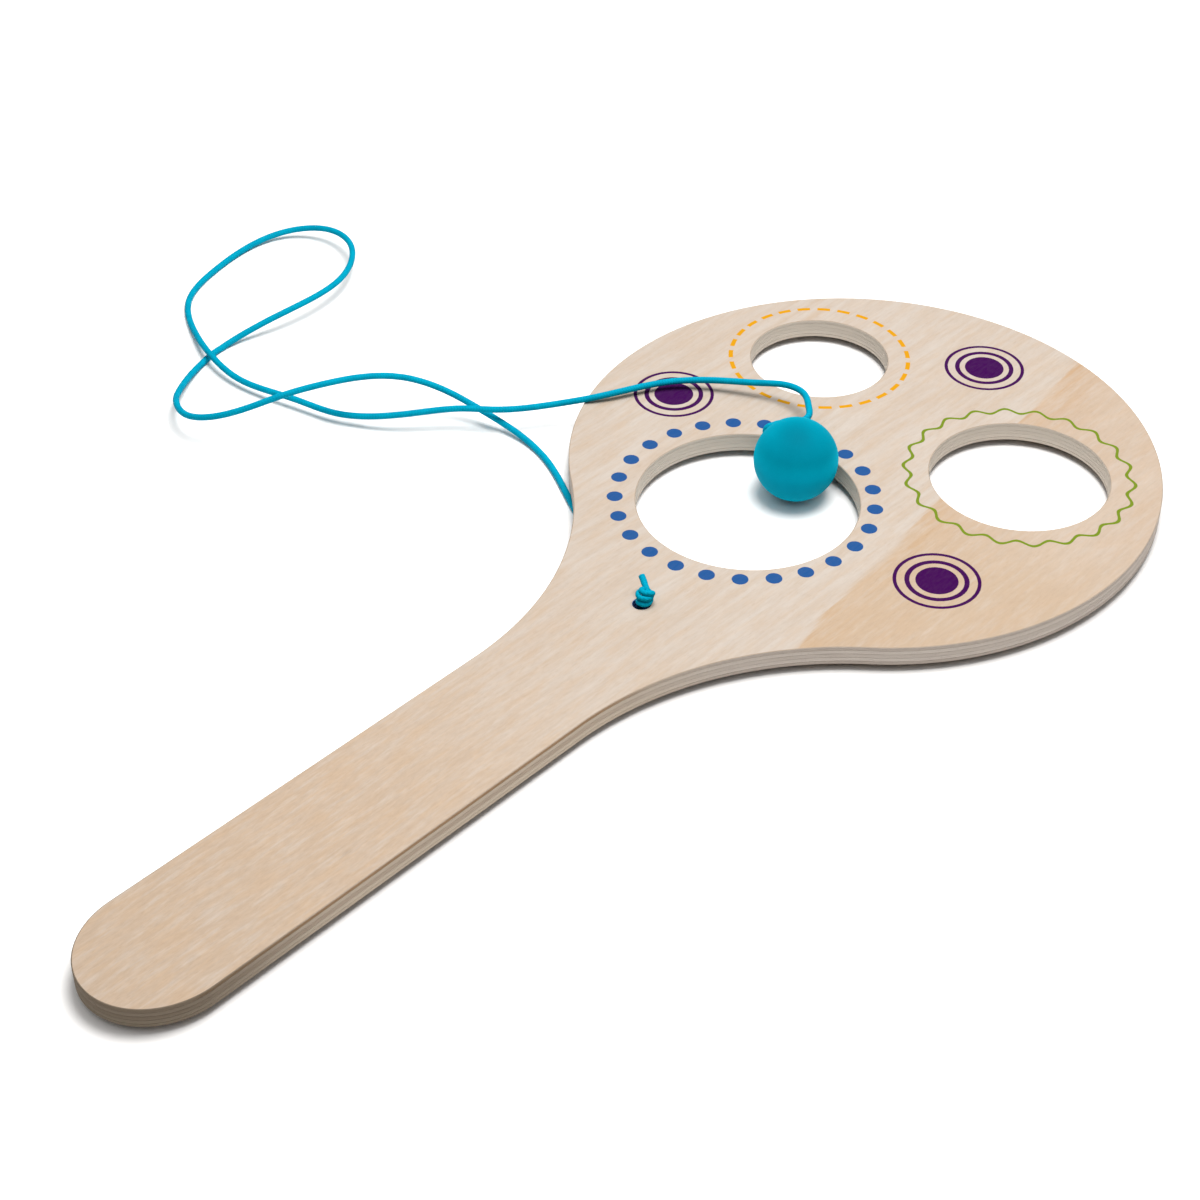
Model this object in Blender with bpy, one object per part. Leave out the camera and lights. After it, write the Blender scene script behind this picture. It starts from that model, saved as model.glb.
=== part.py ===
"""Wooden hole paddle game: a plywood paddle with three round holes, and a ball tied to it by a cord.

The paddle lies face up on the ground, with its head toward +Y and its handle toward -Y. The origin is
on the ground, under the middle of the paddle. All sizes are in metres.
"""

import math

import bmesh
import bpy
import numpy as np
from mathutils import Vector

# Paddle outline: a round head, two hollow neck arcs, a straight handle and a half-ellipse end
PADDLE_LENGTH = 0.374
HEAD_RADIUS = 0.0875
HANDLE_WIDTH = 0.039
NECK_ARC_RADIUS = 0.0967
HANDLE_END_LENGTH = 0.0215
EDGE_EASE = 0.0005

# Five veneers, glued with their grain crossed
FACE_VENEER = 0.0011
CROSS_VENEER = 0.0012
CORE_VENEER = 0.0012
GLUE_LINE = 0.00005

# Round openings: radius, and place of the middle to the right of and above the head's middle
LARGE_HOLE_RADIUS = 0.0325
LARGE_HOLE_PLACE = (-0.0113, -0.0397)
MIDDLE_HOLE_RADIUS = 0.0264
MIDDLE_HOLE_PLACE = (0.0393, 0.0238)
SMALL_HOLE_RADIUS = 0.0214
SMALL_HOLE_PLACE = (-0.0427, 0.0319)
NECK_BORE_RADIUS = 0.0025
NECK_BORE_PLACE = (-0.0018, -0.0959)

# Ball, with a blind bore for the cord's end and a countersunk mouth for its knot
BALL_RADIUS = 0.0125
BALL_BORE_RADIUS = 0.0021
BALL_BORE_DEPTH = 0.011
BALL_MOUTH_RADIUS = 0.0034
BALL_BORE_AZIMUTH = math.radians(165.0)
BALL_BORE_RISE = math.radians(12.0)
BALL_LEAN = math.radians(87.0)
DRILL_POINT = math.radians(118.0)

# Cord, and its knots, where it is drawn tight and so is thinner
CORD_RADIUS = 0.001
KNOT_CORD_RADIUS = 0.00075
KNOT_TAIL_RADIUS = 0.0009
KNOT_TURN_GAP = 0.00048
KNOT_WRAP_RADIUS = 0.00195
CORD_BEND_RADIUS = 0.004

# Neck knot: its wide side, its one wrap in turns from there, and the cord's place in the neck bore
KNOT_SIDE = (0.73, 0.68, 0.0)
KNOT_SHIFT = 0.0005
NECK_WRAP_START = 0.96
NECK_WRAP_TURNS = 1.0
BORE_SIDE_STEP = 0.0012
BORE_POINT_STEP = 0.0007
BORE_HEADROOM = 0.001

# Neck knot's guide points: share of the way and lift from the bore to the wrap, then the tail,
# whose root is measured from the wrap's end and whose tip from the bore at the board's top
FIRST_WRAP_SHARE = 0.35
FIRST_WRAP_LIFT = 0.0004
TAIL_ROOT_ACROSS = 0.0012
TAIL_ROOT_LIFT = 0.0007
TAIL_ROOT_BACK = 0.0003
TAIL_BOW = 0.0004
TAIL_TIP = (-0.0036, 0.0043, 0.0060)
TAIL_LENGTH = 0.0025
TAIL_TAPER_END = 0.0055

# Ball knot: turns of its opening spiral and of its full wraps, and the cord's depths in the bore
SPIRAL_START = 0.1
SPIRAL_TURNS = 0.4
BALL_WRAP_TURNS = 1.25
BALL_CORD_DEPTHS = (0.0010, 0.0022, 0.0040, 0.0060)
BALL_CORD_LEAVING = 0.0016

# Clearance between pieces that touch, and between two lengths of the cord
CLEARANCE = 0.0003

# Fineness: sag of a facet below its arc, ball facets, and the cord's steps
ARC_SAG = 0.00008
LEAST_ARC_COUNT = 4
LEAST_HOLE_COUNT = 16
BALL_TURN_STEPS = 36
BALL_RINGS = 20
BALL_MERGE = 0.00001
CORD_BEVEL_STEPS = 2
FINE_STEP = 0.0003
WRAP_STEPS = 12
BORE_BEND_STEPS = 3
SELF_GAP_APART = 0.0045
KNOT_STRAIGHT_STEP = 0.004
KNOT_BEND_STEP = math.radians(28.0)
CORD_STRAIGHT_STEP = 0.018
CORD_BEND_STEP = math.radians(28.0)

# Levels that follow from the sizes above
BOARD_THICKNESS = 2 * FACE_VENEER + 2 * CROSS_VENEER + CORE_VENEER + 4 * GLUE_LINE
BOARD_BOTTOM = 2 * CORD_RADIUS + CLEARANCE
BOARD_TOP = BOARD_BOTTOM + BOARD_THICKNESS
HEAD_Y = PADDLE_LENGTH / 2 - HEAD_RADIUS

# Cord route: along the ground in low springy arches, then over the board, each point chosen along
# the photographed cord, at the height that its shadow gives
GROUND_ROUTE = (
    (-0.0300, 0.0183, 0.0010),
    (-0.0560, 0.0318, 0.0010),
    (-0.0832, 0.0436, 0.0013),
    (-0.1041, 0.0417, 0.0056),
    (-0.1144, 0.0370, 0.0100),
    (-0.1236, 0.0301, 0.0134),
    (-0.1352, 0.0077, 0.0168),
    (-0.1407, -0.0028, 0.0157),
    (-0.1532, -0.0197, 0.0104),
    (-0.1633, -0.0236, 0.0079),
    (-0.1735, -0.0196, 0.0064),
    (-0.1794, -0.0138, 0.0044),
    (-0.1899, 0.0032, 0.0011),
    (-0.1925, 0.0146, 0.0011),
    (-0.1885, 0.0326, 0.0053),
    (-0.1909, 0.0660, 0.0060),
    (-0.2026, 0.0792, 0.0063),
    (-0.2190, 0.0815, 0.0049),
    (-0.2289, 0.0751, 0.0029),
    (-0.2303, 0.0424, 0.0010),
    (-0.2221, 0.0248, 0.0011),
    (-0.2042, 0.0127, 0.0021),
    (-0.1886, 0.0063, 0.0038),
    (-0.1743, 0.0042, 0.0030),
    (-0.1506, 0.0084, 0.0035),
    (-0.1364, 0.0121, 0.0033),
    (-0.1152, 0.0262, 0.0063),
    (-0.1056, 0.0360, 0.0075),
    (-0.0972, 0.0423, 0.0079),
    (-0.0844, 0.0583, 0.0083),
)
BOARD_ROUTE = (
    (-0.0777, 0.0655, 0.0099),
    (-0.0650, 0.0873, 0.0109),
    (-0.0537, 0.0962, 0.0121),
    (-0.0426, 0.1022, 0.0134),
    (-0.0345, 0.1050, 0.0150),
    (-0.0270, 0.1040, 0.0160),
    (-0.0210, 0.0990, 0.0164),
    (-0.0180, 0.0946, 0.0162),
    (-0.0194, 0.0918, 0.0150),
    (-0.0222, 0.0890, 0.0139),
)


def clear_scene():
    """Remove every object, so that the model starts in an empty scene."""
    for thing in list(bpy.data.objects):
        bpy.data.objects.remove(thing, do_unlink=True)


def finish_material(name, colour, roughness, metallic=0.0):
    """A plain surface finish with one colour, as linear red, green and blue."""
    material = bpy.data.materials.new(name)
    material.use_nodes = True
    shader = material.node_tree.nodes["Principled BSDF"]
    shader.inputs["Base Color"].default_value = (*colour, 1.0)
    shader.inputs["Roughness"].default_value = roughness
    shader.inputs["Metallic"].default_value = metallic
    return material


def link(name, data):
    """Make an object from its data and put it in the scene."""
    thing = bpy.data.objects.new(name, data)
    bpy.context.scene.collection.objects.link(thing)
    return thing


def from_head(place):
    """Turn a place measured from the head's middle into the part's own X and Y."""
    return place[0], HEAD_Y + place[1]


def arc(centre, radius, start, end, drawn_in=0.0, stretch=1.0):
    """Points of an arc from one angle to another, drawn in toward its centre by a distance.

    The count of points comes from the sag of a facet on the full radius, so each level of one
    outline has the same count. Stretch flattens or lengthens the arc along Y.
    """
    step = 2 * math.acos(1 - ARC_SAG / radius)
    count = max(math.ceil(abs(end - start) / step), LEAST_ARC_COUNT)
    angles = np.linspace(start, end, count + 1)
    across = radius - drawn_in
    along = radius * stretch - drawn_in
    return [(centre[0] + across * math.cos(a), centre[1] + along * math.sin(a)) for a in angles]


def paddle_outline(drawn_in):
    """The paddle's outline, counterclockwise, drawn in all round by a distance."""
    half_width = HANDLE_WIDTH / 2
    reach = half_width + NECK_ARC_RADIUS
    drop = math.sqrt((HEAD_RADIUS + NECK_ARC_RADIUS) ** 2 - reach**2)
    meeting = math.atan2(drop, reach)
    neck_y = HEAD_Y - drop
    end_y = HANDLE_END_LENGTH - PADDLE_LENGTH / 2
    head = arc((0.0, HEAD_Y), HEAD_RADIUS, -meeting, math.pi + meeting, drawn_in)
    left_neck = arc((-reach, neck_y), NECK_ARC_RADIUS, meeting, 0.0, -drawn_in)
    right_neck = arc((reach, neck_y), NECK_ARC_RADIUS, math.pi, math.pi - meeting, -drawn_in)
    end = arc(
        (0.0, end_y), half_width, math.pi, 2 * math.pi, drawn_in, HANDLE_END_LENGTH / half_width
    )
    return head[:-1] + left_neck + end + right_neck[:-1]


def round_hole(place, radius):
    """The rim of a round opening, counterclockwise."""
    step = 2 * math.acos(1 - ARC_SAG / radius)
    count = max(math.ceil(2 * math.pi / step), LEAST_HOLE_COUNT)
    x, y = from_head(place)
    angles = [2 * math.pi * k / count for k in range(count)]
    return [(x + radius * math.cos(a), y + radius * math.sin(a)) for a in angles]


def board_rims(eased):
    """The outline, eased back by a distance, and the plain rims of the four openings."""
    return [
        paddle_outline(eased),
        round_hole(LARGE_HOLE_PLACE, LARGE_HOLE_RADIUS),
        round_hole(MIDDLE_HOLE_PLACE, MIDDLE_HOLE_RADIUS),
        round_hole(SMALL_HOLE_PLACE, SMALL_HOLE_RADIUS),
        round_hole(NECK_BORE_PLACE, NECK_BORE_RADIUS),
    ]


def veneer(name, levels, material):
    """One veneer of the board, from levels of height and easing, listed from bottom to top."""
    shape = bmesh.new()
    rings = []
    for height, eased in levels:
        rings.append([[shape.verts.new((x, y, height)) for x, y in rim] for rim in board_rims(eased)])
    for lower, upper in zip(rings[:-1], rings[1:]):
        for low, high in zip(lower, upper):
            for k in range(len(low)):
                after = (k + 1) % len(low)
                shape.faces.new((low[k], low[after], high[after], high[k]))
    for level in (rings[0], rings[-1]):
        edges = []
        for rim in level:
            edges += [shape.edges.get((rim[k - 1], rim[k])) for k in range(len(rim))]
        bmesh.ops.triangle_fill(shape, use_beauty=True, use_dissolve=False, edges=edges)
    bmesh.ops.recalc_face_normals(shape, faces=shape.faces)
    mesh = bpy.data.meshes.new(name)
    shape.to_mesh(mesh)
    shape.free()
    mesh.materials.append(material)
    return link(name, mesh)


def board(face_wood, cross_wood, core_wood):
    """The paddle: five veneers, the two outer ones with the outline's edge eased."""
    bend = EDGE_EASE * (1 - math.sin(math.radians(45)))
    back_top = BOARD_BOTTOM + FACE_VENEER
    lower_bottom = back_top + GLUE_LINE
    lower_top = lower_bottom + CROSS_VENEER
    core_bottom = lower_top + GLUE_LINE
    core_top = core_bottom + CORE_VENEER
    upper_bottom = core_top + GLUE_LINE
    upper_top = upper_bottom + CROSS_VENEER
    face_bottom = upper_top + GLUE_LINE
    back_levels = (
        (BOARD_BOTTOM, EDGE_EASE),
        (BOARD_BOTTOM + bend, bend),
        (BOARD_BOTTOM + EDGE_EASE, 0.0),
        (back_top, 0.0),
    )
    face_levels = (
        (face_bottom, 0.0),
        (BOARD_TOP - EDGE_EASE, 0.0),
        (BOARD_TOP - bend, bend),
        (BOARD_TOP, EDGE_EASE),
    )
    return [
        veneer("ply_back", back_levels, face_wood),
        veneer("ply_cross_lower", ((lower_bottom, 0.0), (lower_top, 0.0)), cross_wood),
        veneer("ply_core", ((core_bottom, 0.0), (core_top, 0.0)), core_wood),
        veneer("ply_cross_upper", ((upper_bottom, 0.0), (upper_top, 0.0)), cross_wood),
        veneer("ply_face", face_levels, face_wood),
    ]


def ball_centre():
    """Where the ball rests: on the ground, leaning on the rim of the large hole."""
    over_board = BALL_RADIUS - BOARD_TOP
    reach = math.sqrt(BALL_RADIUS**2 - over_board**2)
    away = LARGE_HOLE_RADIUS - CLEARANCE - reach
    x, y = from_head(LARGE_HOLE_PLACE)
    return Vector((x + away * math.cos(BALL_LEAN), y + away * math.sin(BALL_LEAN), BALL_RADIUS))


def bore_axis():
    """Direction of the ball's bore, from the ball's middle out through its mouth."""
    level = math.cos(BALL_BORE_RISE)
    return Vector(
        (
            level * math.cos(BALL_BORE_AZIMUTH),
            level * math.sin(BALL_BORE_AZIMUTH),
            math.sin(BALL_BORE_RISE),
        )
    )


def mouth_depth():
    """Distance from the ball's middle to the plane of its bore's mouth."""
    return math.sqrt(BALL_RADIUS**2 - BALL_MOUTH_RADIUS**2)


def ball(paint):
    """The ball, turned round the axis of its bore."""
    bottom = BALL_RADIUS - BALL_BORE_DEPTH
    tip = bottom - BALL_BORE_RADIUS / math.tan(DRILL_POINT / 2)
    mouth = mouth_depth()
    cone_foot = mouth - (BALL_MOUTH_RADIUS - BALL_BORE_RADIUS)
    rim_angle = math.asin(BALL_MOUTH_RADIUS / BALL_RADIUS)
    profile = [(0.0, tip), (BALL_BORE_RADIUS, bottom), (BALL_BORE_RADIUS, cone_foot)]
    for angle in np.linspace(rim_angle, math.pi, BALL_RINGS + 1)[:-1]:
        profile.append((BALL_RADIUS * math.sin(angle), BALL_RADIUS * math.cos(angle)))
    profile.append((0.0, -BALL_RADIUS))
    mesh = bpy.data.meshes.new("ball")
    points = [(radius, 0.0, height) for radius, height in profile]
    mesh.from_pydata(points, [(k, k + 1) for k in range(len(points) - 1)], [])
    mesh.materials.append(paint)
    thing = link("ball", mesh)
    turn = thing.modifiers.new("turned", "SCREW")
    turn.axis = "Z"
    turn.angle = 2 * math.pi
    turn.steps = BALL_TURN_STEPS
    turn.render_steps = BALL_TURN_STEPS
    turn.use_merge_vertices = True
    turn.merge_threshold = BALL_MERGE
    turn.use_smooth_shade = True
    thing.location = ball_centre()
    thing.rotation_mode = "QUATERNION"
    thing.rotation_quaternion = Vector((0.0, 0.0, 1.0)).rotation_difference(bore_axis())
    return thing


def wraps(centre, axis, right, first_turn, turns, first_height, pitch, first_radius=None):
    """Points of a helix round an axis, at the radius of a knot's wraps.

    Turns are counted from the direction called right, toward axis x right. With a first radius, the
    helix opens out evenly from it to the full radius.
    """
    ahead = axis.cross(right)
    count = max(round(abs(turns) * WRAP_STEPS), 2)
    points = []
    for share in np.linspace(0.0, 1.0, count + 1):
        angle = 2 * math.pi * (first_turn + turns * share)
        start = KNOT_WRAP_RADIUS if first_radius is None else first_radius
        radius = start + (KNOT_WRAP_RADIUS - start) * share
        height = first_height + pitch * abs(turns) * share
        spoke = right * math.cos(angle) + ahead * math.sin(angle)
        points.append(centre + spoke * radius + axis * height)
    return points


def under_board_heading():
    """Direction, level with the ground, in which the cord leaves the neck bore under the board."""
    x, y = from_head(NECK_BORE_PLACE)
    return Vector((GROUND_ROUTE[1][0] - x, GROUND_ROUTE[1][1] - y, 0.0)).normalized()


def neck_knot_route(pitch):
    """The stopper knot on the neck bore: from the tail's tip, down the wraps, into the bore."""
    x, y = from_head(NECK_BORE_PLACE)
    bore = Vector((x, y, BOARD_TOP))
    up = Vector((0.0, 0.0, 1.0))
    right = Vector(KNOT_SIDE).normalized()
    middle = bore + right * KNOT_SHIFT
    standing = bore - under_board_heading() * BORE_SIDE_STEP
    lowest = KNOT_CORD_RADIUS + CLEARANCE
    rise = wraps(middle, up, right, NECK_WRAP_START, NECK_WRAP_TURNS, lowest, pitch)
    away = up.cross(right)
    tail_root = rise[-1] + away * TAIL_ROOT_ACROSS + up * TAIL_ROOT_LIFT - right * TAIL_ROOT_BACK
    tail_tip = bore + Vector(TAIL_TIP)
    tail_middle = tail_root.lerp(tail_tip, 0.5) + away * TAIL_BOW
    stub = [
        standing.lerp(rise[0], FIRST_WRAP_SHARE) + up * FIRST_WRAP_LIFT,
        standing,
        standing - up * BORE_POINT_STEP,
        standing - up * 2 * BORE_POINT_STEP,
    ]
    return [tail_tip, tail_middle, tail_root] + rise[::-1] + stub


def bore_bend_route():
    """The cord in the neck bore and its bend to the ground under the board."""
    x, y = from_head(NECK_BORE_PLACE)
    heading = under_board_heading()
    standing = Vector((x, y, 0.0)) - heading * BORE_SIDE_STEP
    bend_top = CORD_RADIUS + CORD_BEND_RADIUS
    points = [standing + Vector((0.0, 0.0, bend_top + BORE_HEADROOM))]
    for angle in np.linspace(0.0, math.pi / 2, BORE_BEND_STEPS + 1):
        out = CORD_BEND_RADIUS * (1 - math.cos(angle))
        height = bend_top - CORD_BEND_RADIUS * math.sin(angle)
        points.append(standing + heading * out + Vector((0.0, 0.0, height)))
    points.append(standing + heading * 3 * CORD_BEND_RADIUS + Vector((0.0, 0.0, CORD_RADIUS)))
    return points


def ball_knot_route(pitch):
    """The knot in the ball's mouth: from its hidden side, round the wraps, into the bore."""
    axis = bore_axis()
    right = axis.cross(Vector((0.0, 0.0, 1.0))).normalized()
    cone_tip = mouth_depth() - BALL_MOUTH_RADIUS
    opening = cone_tip + (KNOT_CORD_RADIUS + CLEARANCE) * math.sqrt(2)
    widest = opening + KNOT_WRAP_RADIUS
    centre = ball_centre()
    climb = KNOT_WRAP_RADIUS / SPIRAL_TURNS
    spiral = wraps(centre, axis, right, SPIRAL_START, SPIRAL_TURNS, opening, climb, 0.0)
    full = wraps(centre, axis, right, SPIRAL_START + SPIRAL_TURNS, BALL_WRAP_TURNS, widest, pitch)
    stub = [centre + axis * (opening - depth) for depth in BALL_CORD_DEPTHS]
    leaving = full[-1] + (full[-1] - full[-2]).normalized() * BALL_CORD_LEAVING
    return [leaving] + full[::-1] + spiral[-2::-1] + stub


def smooth_curve(route):
    """A natural cubic spline through the route's points, read at a fine even step.

    The spline's parameter is the distance from point to point. It returns the points read, the
    parameter of each, and the parameter of each point of the route.
    """
    points = np.array([tuple(point) for point in route])
    spans = np.linalg.norm(np.diff(points, axis=0), axis=1)
    stations = np.concatenate(([0.0], np.cumsum(spans)))
    slopes = np.diff(points, axis=0) / spans[:, None]
    system = np.eye(len(points))
    wanted = np.zeros(points.shape)
    for row in range(1, len(points) - 1):
        system[row, row - 1] = spans[row - 1]
        system[row, row] = 2 * (spans[row - 1] + spans[row])
        system[row, row + 1] = spans[row]
        wanted[row] = 6 * (slopes[row] - slopes[row - 1])
    bends = np.linalg.solve(system, wanted)
    count = math.ceil(stations[-1] / FINE_STEP)
    reads = np.linspace(0.0, stations[-1], count + 1)
    span = np.clip(np.searchsorted(stations, reads, side="right") - 1, 0, len(spans) - 1)
    width = spans[span][:, None]
    before = (stations[span + 1] - reads)[:, None] / width
    after = 1 - before
    sag = (before**3 - before) * bends[span] + (after**3 - after) * bends[span + 1]
    curve = before * points[span] + after * points[span + 1] + sag * width**2 / 6
    return curve, reads, stations


def thinned(curve, straight_step, bend_step):
    """Places along a fine curve, a long step apart where it is straight and nearer where it bends."""
    steps = np.diff(curve, axis=0)
    lengths = np.linalg.norm(steps, axis=1)
    headings = steps / lengths[:, None]
    cosines = np.clip(np.sum(headings[:-1] * headings[1:], axis=1), -1.0, 1.0)
    turns = np.concatenate(([0.0], np.arccos(cosines)))
    effort = np.concatenate(([0.0], np.cumsum(lengths / straight_step + turns / bend_step)))
    count = math.ceil(effort[-1])
    return np.searchsorted(effort, np.linspace(0.0, effort[-1], count + 1)).clip(0, len(curve) - 1)


def tube(name, points, radii, dye):
    """A round cord through points, with its own radius at each and closed ends."""
    data = bpy.data.curves.new(name, "CURVE")
    data.dimensions = "3D"
    data.bevel_depth = CORD_RADIUS
    data.bevel_resolution = CORD_BEVEL_STEPS
    data.use_fill_caps = True
    spline = data.splines.new("POLY")
    spline.points.add(len(points) - 1)
    for knot, place, radius in zip(spline.points, points, radii):
        knot.co = (*place, 1.0)
        knot.radius = radius / CORD_RADIUS
    data.materials.append(dye)
    return link(name, data)


def least_gap(curve, radii, apart):
    """Least distance between the cord's surfaces, for points further apart along it than apart."""
    fine = slice(None, None, 2)
    points = curve[fine]
    thick = radii[fine]
    lengths = np.linalg.norm(np.diff(points, axis=0), axis=1)
    along = np.concatenate(([0.0], np.cumsum(lengths)))
    least = math.inf
    for k in range(len(points)):
        far = along > along[k] + apart
        if far.any():
            gaps = np.linalg.norm(points[far] - points[k], axis=1) - thick[far] - thick[k]
            least = min(least, float(gaps.min()))
    return least


def cord(dye):
    """The cord in four lengths cut from one smooth curve, from the neck knot's tail to the ball."""
    pitch = 2 * KNOT_CORD_RADIUS + KNOT_TURN_GAP
    routes = {
        "neck_knot": neck_knot_route(pitch),
        "cord_run": bore_bend_route() + [Vector(point) for point in GROUND_ROUTE],
        "cord_lead": [Vector(point) for point in BOARD_ROUTE],
        "ball_knot": ball_knot_route(pitch),
    }
    whole = [point for route in routes.values() for point in route]
    curve, reads, stations = smooth_curve(whole)
    curve[:, 2] = np.maximum(curve[:, 2], CORD_RADIUS)
    counts = np.cumsum([len(route) for route in routes.values()])
    cuts = [0.5 * (stations[last - 1] + stations[last]) for last in counts[:-1]]
    neck_cut, edge_cut, ball_cut = cuts
    knot_turn = 2 * math.pi * KNOT_WRAP_RADIUS
    marks = [0.0, TAIL_LENGTH, TAIL_TAPER_END, neck_cut, neck_cut + knot_turn / 4]
    sizes = [KNOT_TAIL_RADIUS, KNOT_TAIL_RADIUS, KNOT_CORD_RADIUS, KNOT_CORD_RADIUS, CORD_RADIUS]
    marks += [ball_cut - knot_turn / 4, ball_cut]
    sizes += [CORD_RADIUS, KNOT_CORD_RADIUS]
    radii = np.interp(reads, marks, sizes)
    bounds = [0.0, *cuts, stations[-1]]
    pieces = []
    for place, name in enumerate(routes):
        start = bounds[place] + (CLEARANCE / 2 if place else 0.0)
        end = bounds[place + 1] - (CLEARANCE / 2 if place < len(cuts) else 0.0)
        inside = (reads >= start) & (reads <= end)
        part, part_radii = curve[inside], radii[inside]
        if name.endswith("knot"):
            chosen = thinned(part, KNOT_STRAIGHT_STEP, KNOT_BEND_STEP)
        else:
            chosen = thinned(part, CORD_STRAIGHT_STEP, CORD_BEND_STEP)
        pieces.append(tube(name, part[chosen], part_radii[chosen], dye))
        print(name, "points", len(chosen))
    lengths = np.linalg.norm(np.diff(curve, axis=0), axis=1)
    print("cord length, mm:", round(1000 * float(lengths.sum()), 1))
    gap = least_gap(curve, radii, SELF_GAP_APART)
    print("least gap of the cord to itself, mm:", round(1000 * gap, 2))
    return pieces


def hang_on(child, parent):
    """Parent an object without moving it; the parent is neither turned nor scaled."""
    child.parent = parent
    child.location = child.location - parent.location


def joint_empty(name, place):
    """An empty that marks a joint."""
    empty = link(name, None)
    empty.empty_display_size = BALL_RADIUS
    empty.location = place
    return empty


def build():
    """Make the toy, and hang the ball and its length of cord on their joints."""
    clear_scene()
    face_wood = finish_material("face_veneer", (0.68, 0.55, 0.42), 0.62)
    cross_wood = finish_material("cross_veneer", (0.52, 0.42, 0.31), 0.75)
    core_wood = finish_material("core_veneer", (0.36, 0.27, 0.19), 0.78)
    paint = finish_material("ball_paint", (0.0, 0.262, 0.342), 0.38)
    dye = finish_material("cord_dye", (0.0, 0.40, 0.62), 0.7)
    board(face_wood, cross_wood, core_wood)
    lengths = {thing.name: thing for thing in cord(dye)}
    painted = ball(paint)
    lift = joint_empty("lift_joint", ball_centre())
    hang_on(painted, lift)
    hang_on(lengths["cord_lead"], lift)
    hang_on(lengths["ball_knot"], lift)


build()
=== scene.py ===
# %% [markdown]
# # A wooden hole paddle game
#
# The toy is a flat plywood paddle with three round holes in its head. A small painted ball hangs on a
# thin blue cord from a bore at the neck, and the player swings it up through the holes. The paddle lies
# face up on white ground, on its own cord, and the ball leans on the rim of the largest hole.
#
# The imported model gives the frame: every length is in metres, +Y runs from the handle to the head, +X to
# the right seen from above, and Z = 0 is the ground. Each fine surface below is a numpy grid that
# follows a formula, and so does each finish.

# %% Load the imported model
import math

import bpy
import numpy as np
from mathutils import Matrix, Vector, geometry


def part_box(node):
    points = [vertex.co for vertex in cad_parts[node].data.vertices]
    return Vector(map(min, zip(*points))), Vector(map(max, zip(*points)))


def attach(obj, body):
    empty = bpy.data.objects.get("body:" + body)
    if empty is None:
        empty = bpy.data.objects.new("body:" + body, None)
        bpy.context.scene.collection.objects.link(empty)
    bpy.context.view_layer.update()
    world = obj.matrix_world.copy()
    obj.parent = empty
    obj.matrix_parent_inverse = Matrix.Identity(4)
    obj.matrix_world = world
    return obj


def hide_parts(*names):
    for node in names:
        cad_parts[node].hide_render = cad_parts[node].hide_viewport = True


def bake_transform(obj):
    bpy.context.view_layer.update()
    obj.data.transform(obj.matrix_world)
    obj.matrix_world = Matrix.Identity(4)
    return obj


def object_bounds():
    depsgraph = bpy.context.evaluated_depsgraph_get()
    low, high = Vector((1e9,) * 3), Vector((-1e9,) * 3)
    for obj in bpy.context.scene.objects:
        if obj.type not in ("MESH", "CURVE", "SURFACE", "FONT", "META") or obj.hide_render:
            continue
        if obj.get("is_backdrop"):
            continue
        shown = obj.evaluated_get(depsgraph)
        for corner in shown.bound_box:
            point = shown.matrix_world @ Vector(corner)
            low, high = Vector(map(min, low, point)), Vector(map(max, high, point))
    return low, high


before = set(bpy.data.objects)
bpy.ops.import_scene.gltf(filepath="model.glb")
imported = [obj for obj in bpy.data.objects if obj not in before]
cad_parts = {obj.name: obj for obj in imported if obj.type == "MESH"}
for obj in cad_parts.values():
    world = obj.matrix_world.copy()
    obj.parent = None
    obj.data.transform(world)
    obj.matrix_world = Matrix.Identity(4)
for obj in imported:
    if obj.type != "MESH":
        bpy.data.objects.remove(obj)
cad_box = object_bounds()

# %% [markdown]
# ## Sizes that the frame gives
#
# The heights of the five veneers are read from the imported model, and so are the paddle's length and
# width. A round head sits at the +Y end, so half of the paddle's width is the head's radius, and the
# head's middle lies one radius in from the end.

# %% Board sizes
VENEERS = ("ply_back", "ply_cross_lower", "ply_core", "ply_cross_upper", "ply_face")
levels = {name: (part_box(name)[0].z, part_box(name)[1].z) for name in VENEERS}
face_low, face_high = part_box("ply_face")
BOARD_TOP = face_high.z
HEAD_RADIUS = (face_high.x - face_low.x) / 2
PADDLE_LENGTH = face_high.y - face_low.y
HEAD_Y = face_high.y - HEAD_RADIUS
MM = 0.001

# %% [markdown]
# ## The camera
#
# The photograph was taken with a long lens from the handle's right. The place, the three turns and the
# focal length were worked out from the three round holes and the ring of dots, which are true circles on
# the board and ellipses in the picture. The camera starts out looking straight down. It gets a trace of
# roll, is tipped up toward the horizon, and is then swung round to its azimuth.

# %% Camera
CAMERA_PLACE = (0.3362, -0.3762, 0.4272)
CAMERA_AZIMUTH = math.radians(42.94)
CAMERA_ELEVATION = math.radians(39.40)
CAMERA_ROLL = math.radians(0.14)
LENS = 72.07
SENSOR = 36.0
NEAREST_SEEN = 0.01


def placed(name, data):
    """An object at the origin for some data, linked into the scene."""
    piece = bpy.data.objects.new(name, data)
    bpy.context.scene.collection.objects.link(piece)
    return piece


camera_data = bpy.data.cameras.new("camera")
camera_data.lens = LENS
camera_data.sensor_width = SENSOR
camera_data.clip_start = NEAREST_SEEN
camera = placed("camera", camera_data)
camera.matrix_world = (
    Matrix.Translation(CAMERA_PLACE)
    @ Matrix.Rotation(CAMERA_AZIMUTH, 4, "Z")
    @ Matrix.Rotation(math.pi / 2 - CAMERA_ELEVATION, 4, "X")
    @ Matrix.Rotation(CAMERA_ROLL, 4, "Z")
)
bpy.context.scene.camera = camera
print("camera distance:", round(camera.location.length, 3), "m")

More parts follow.
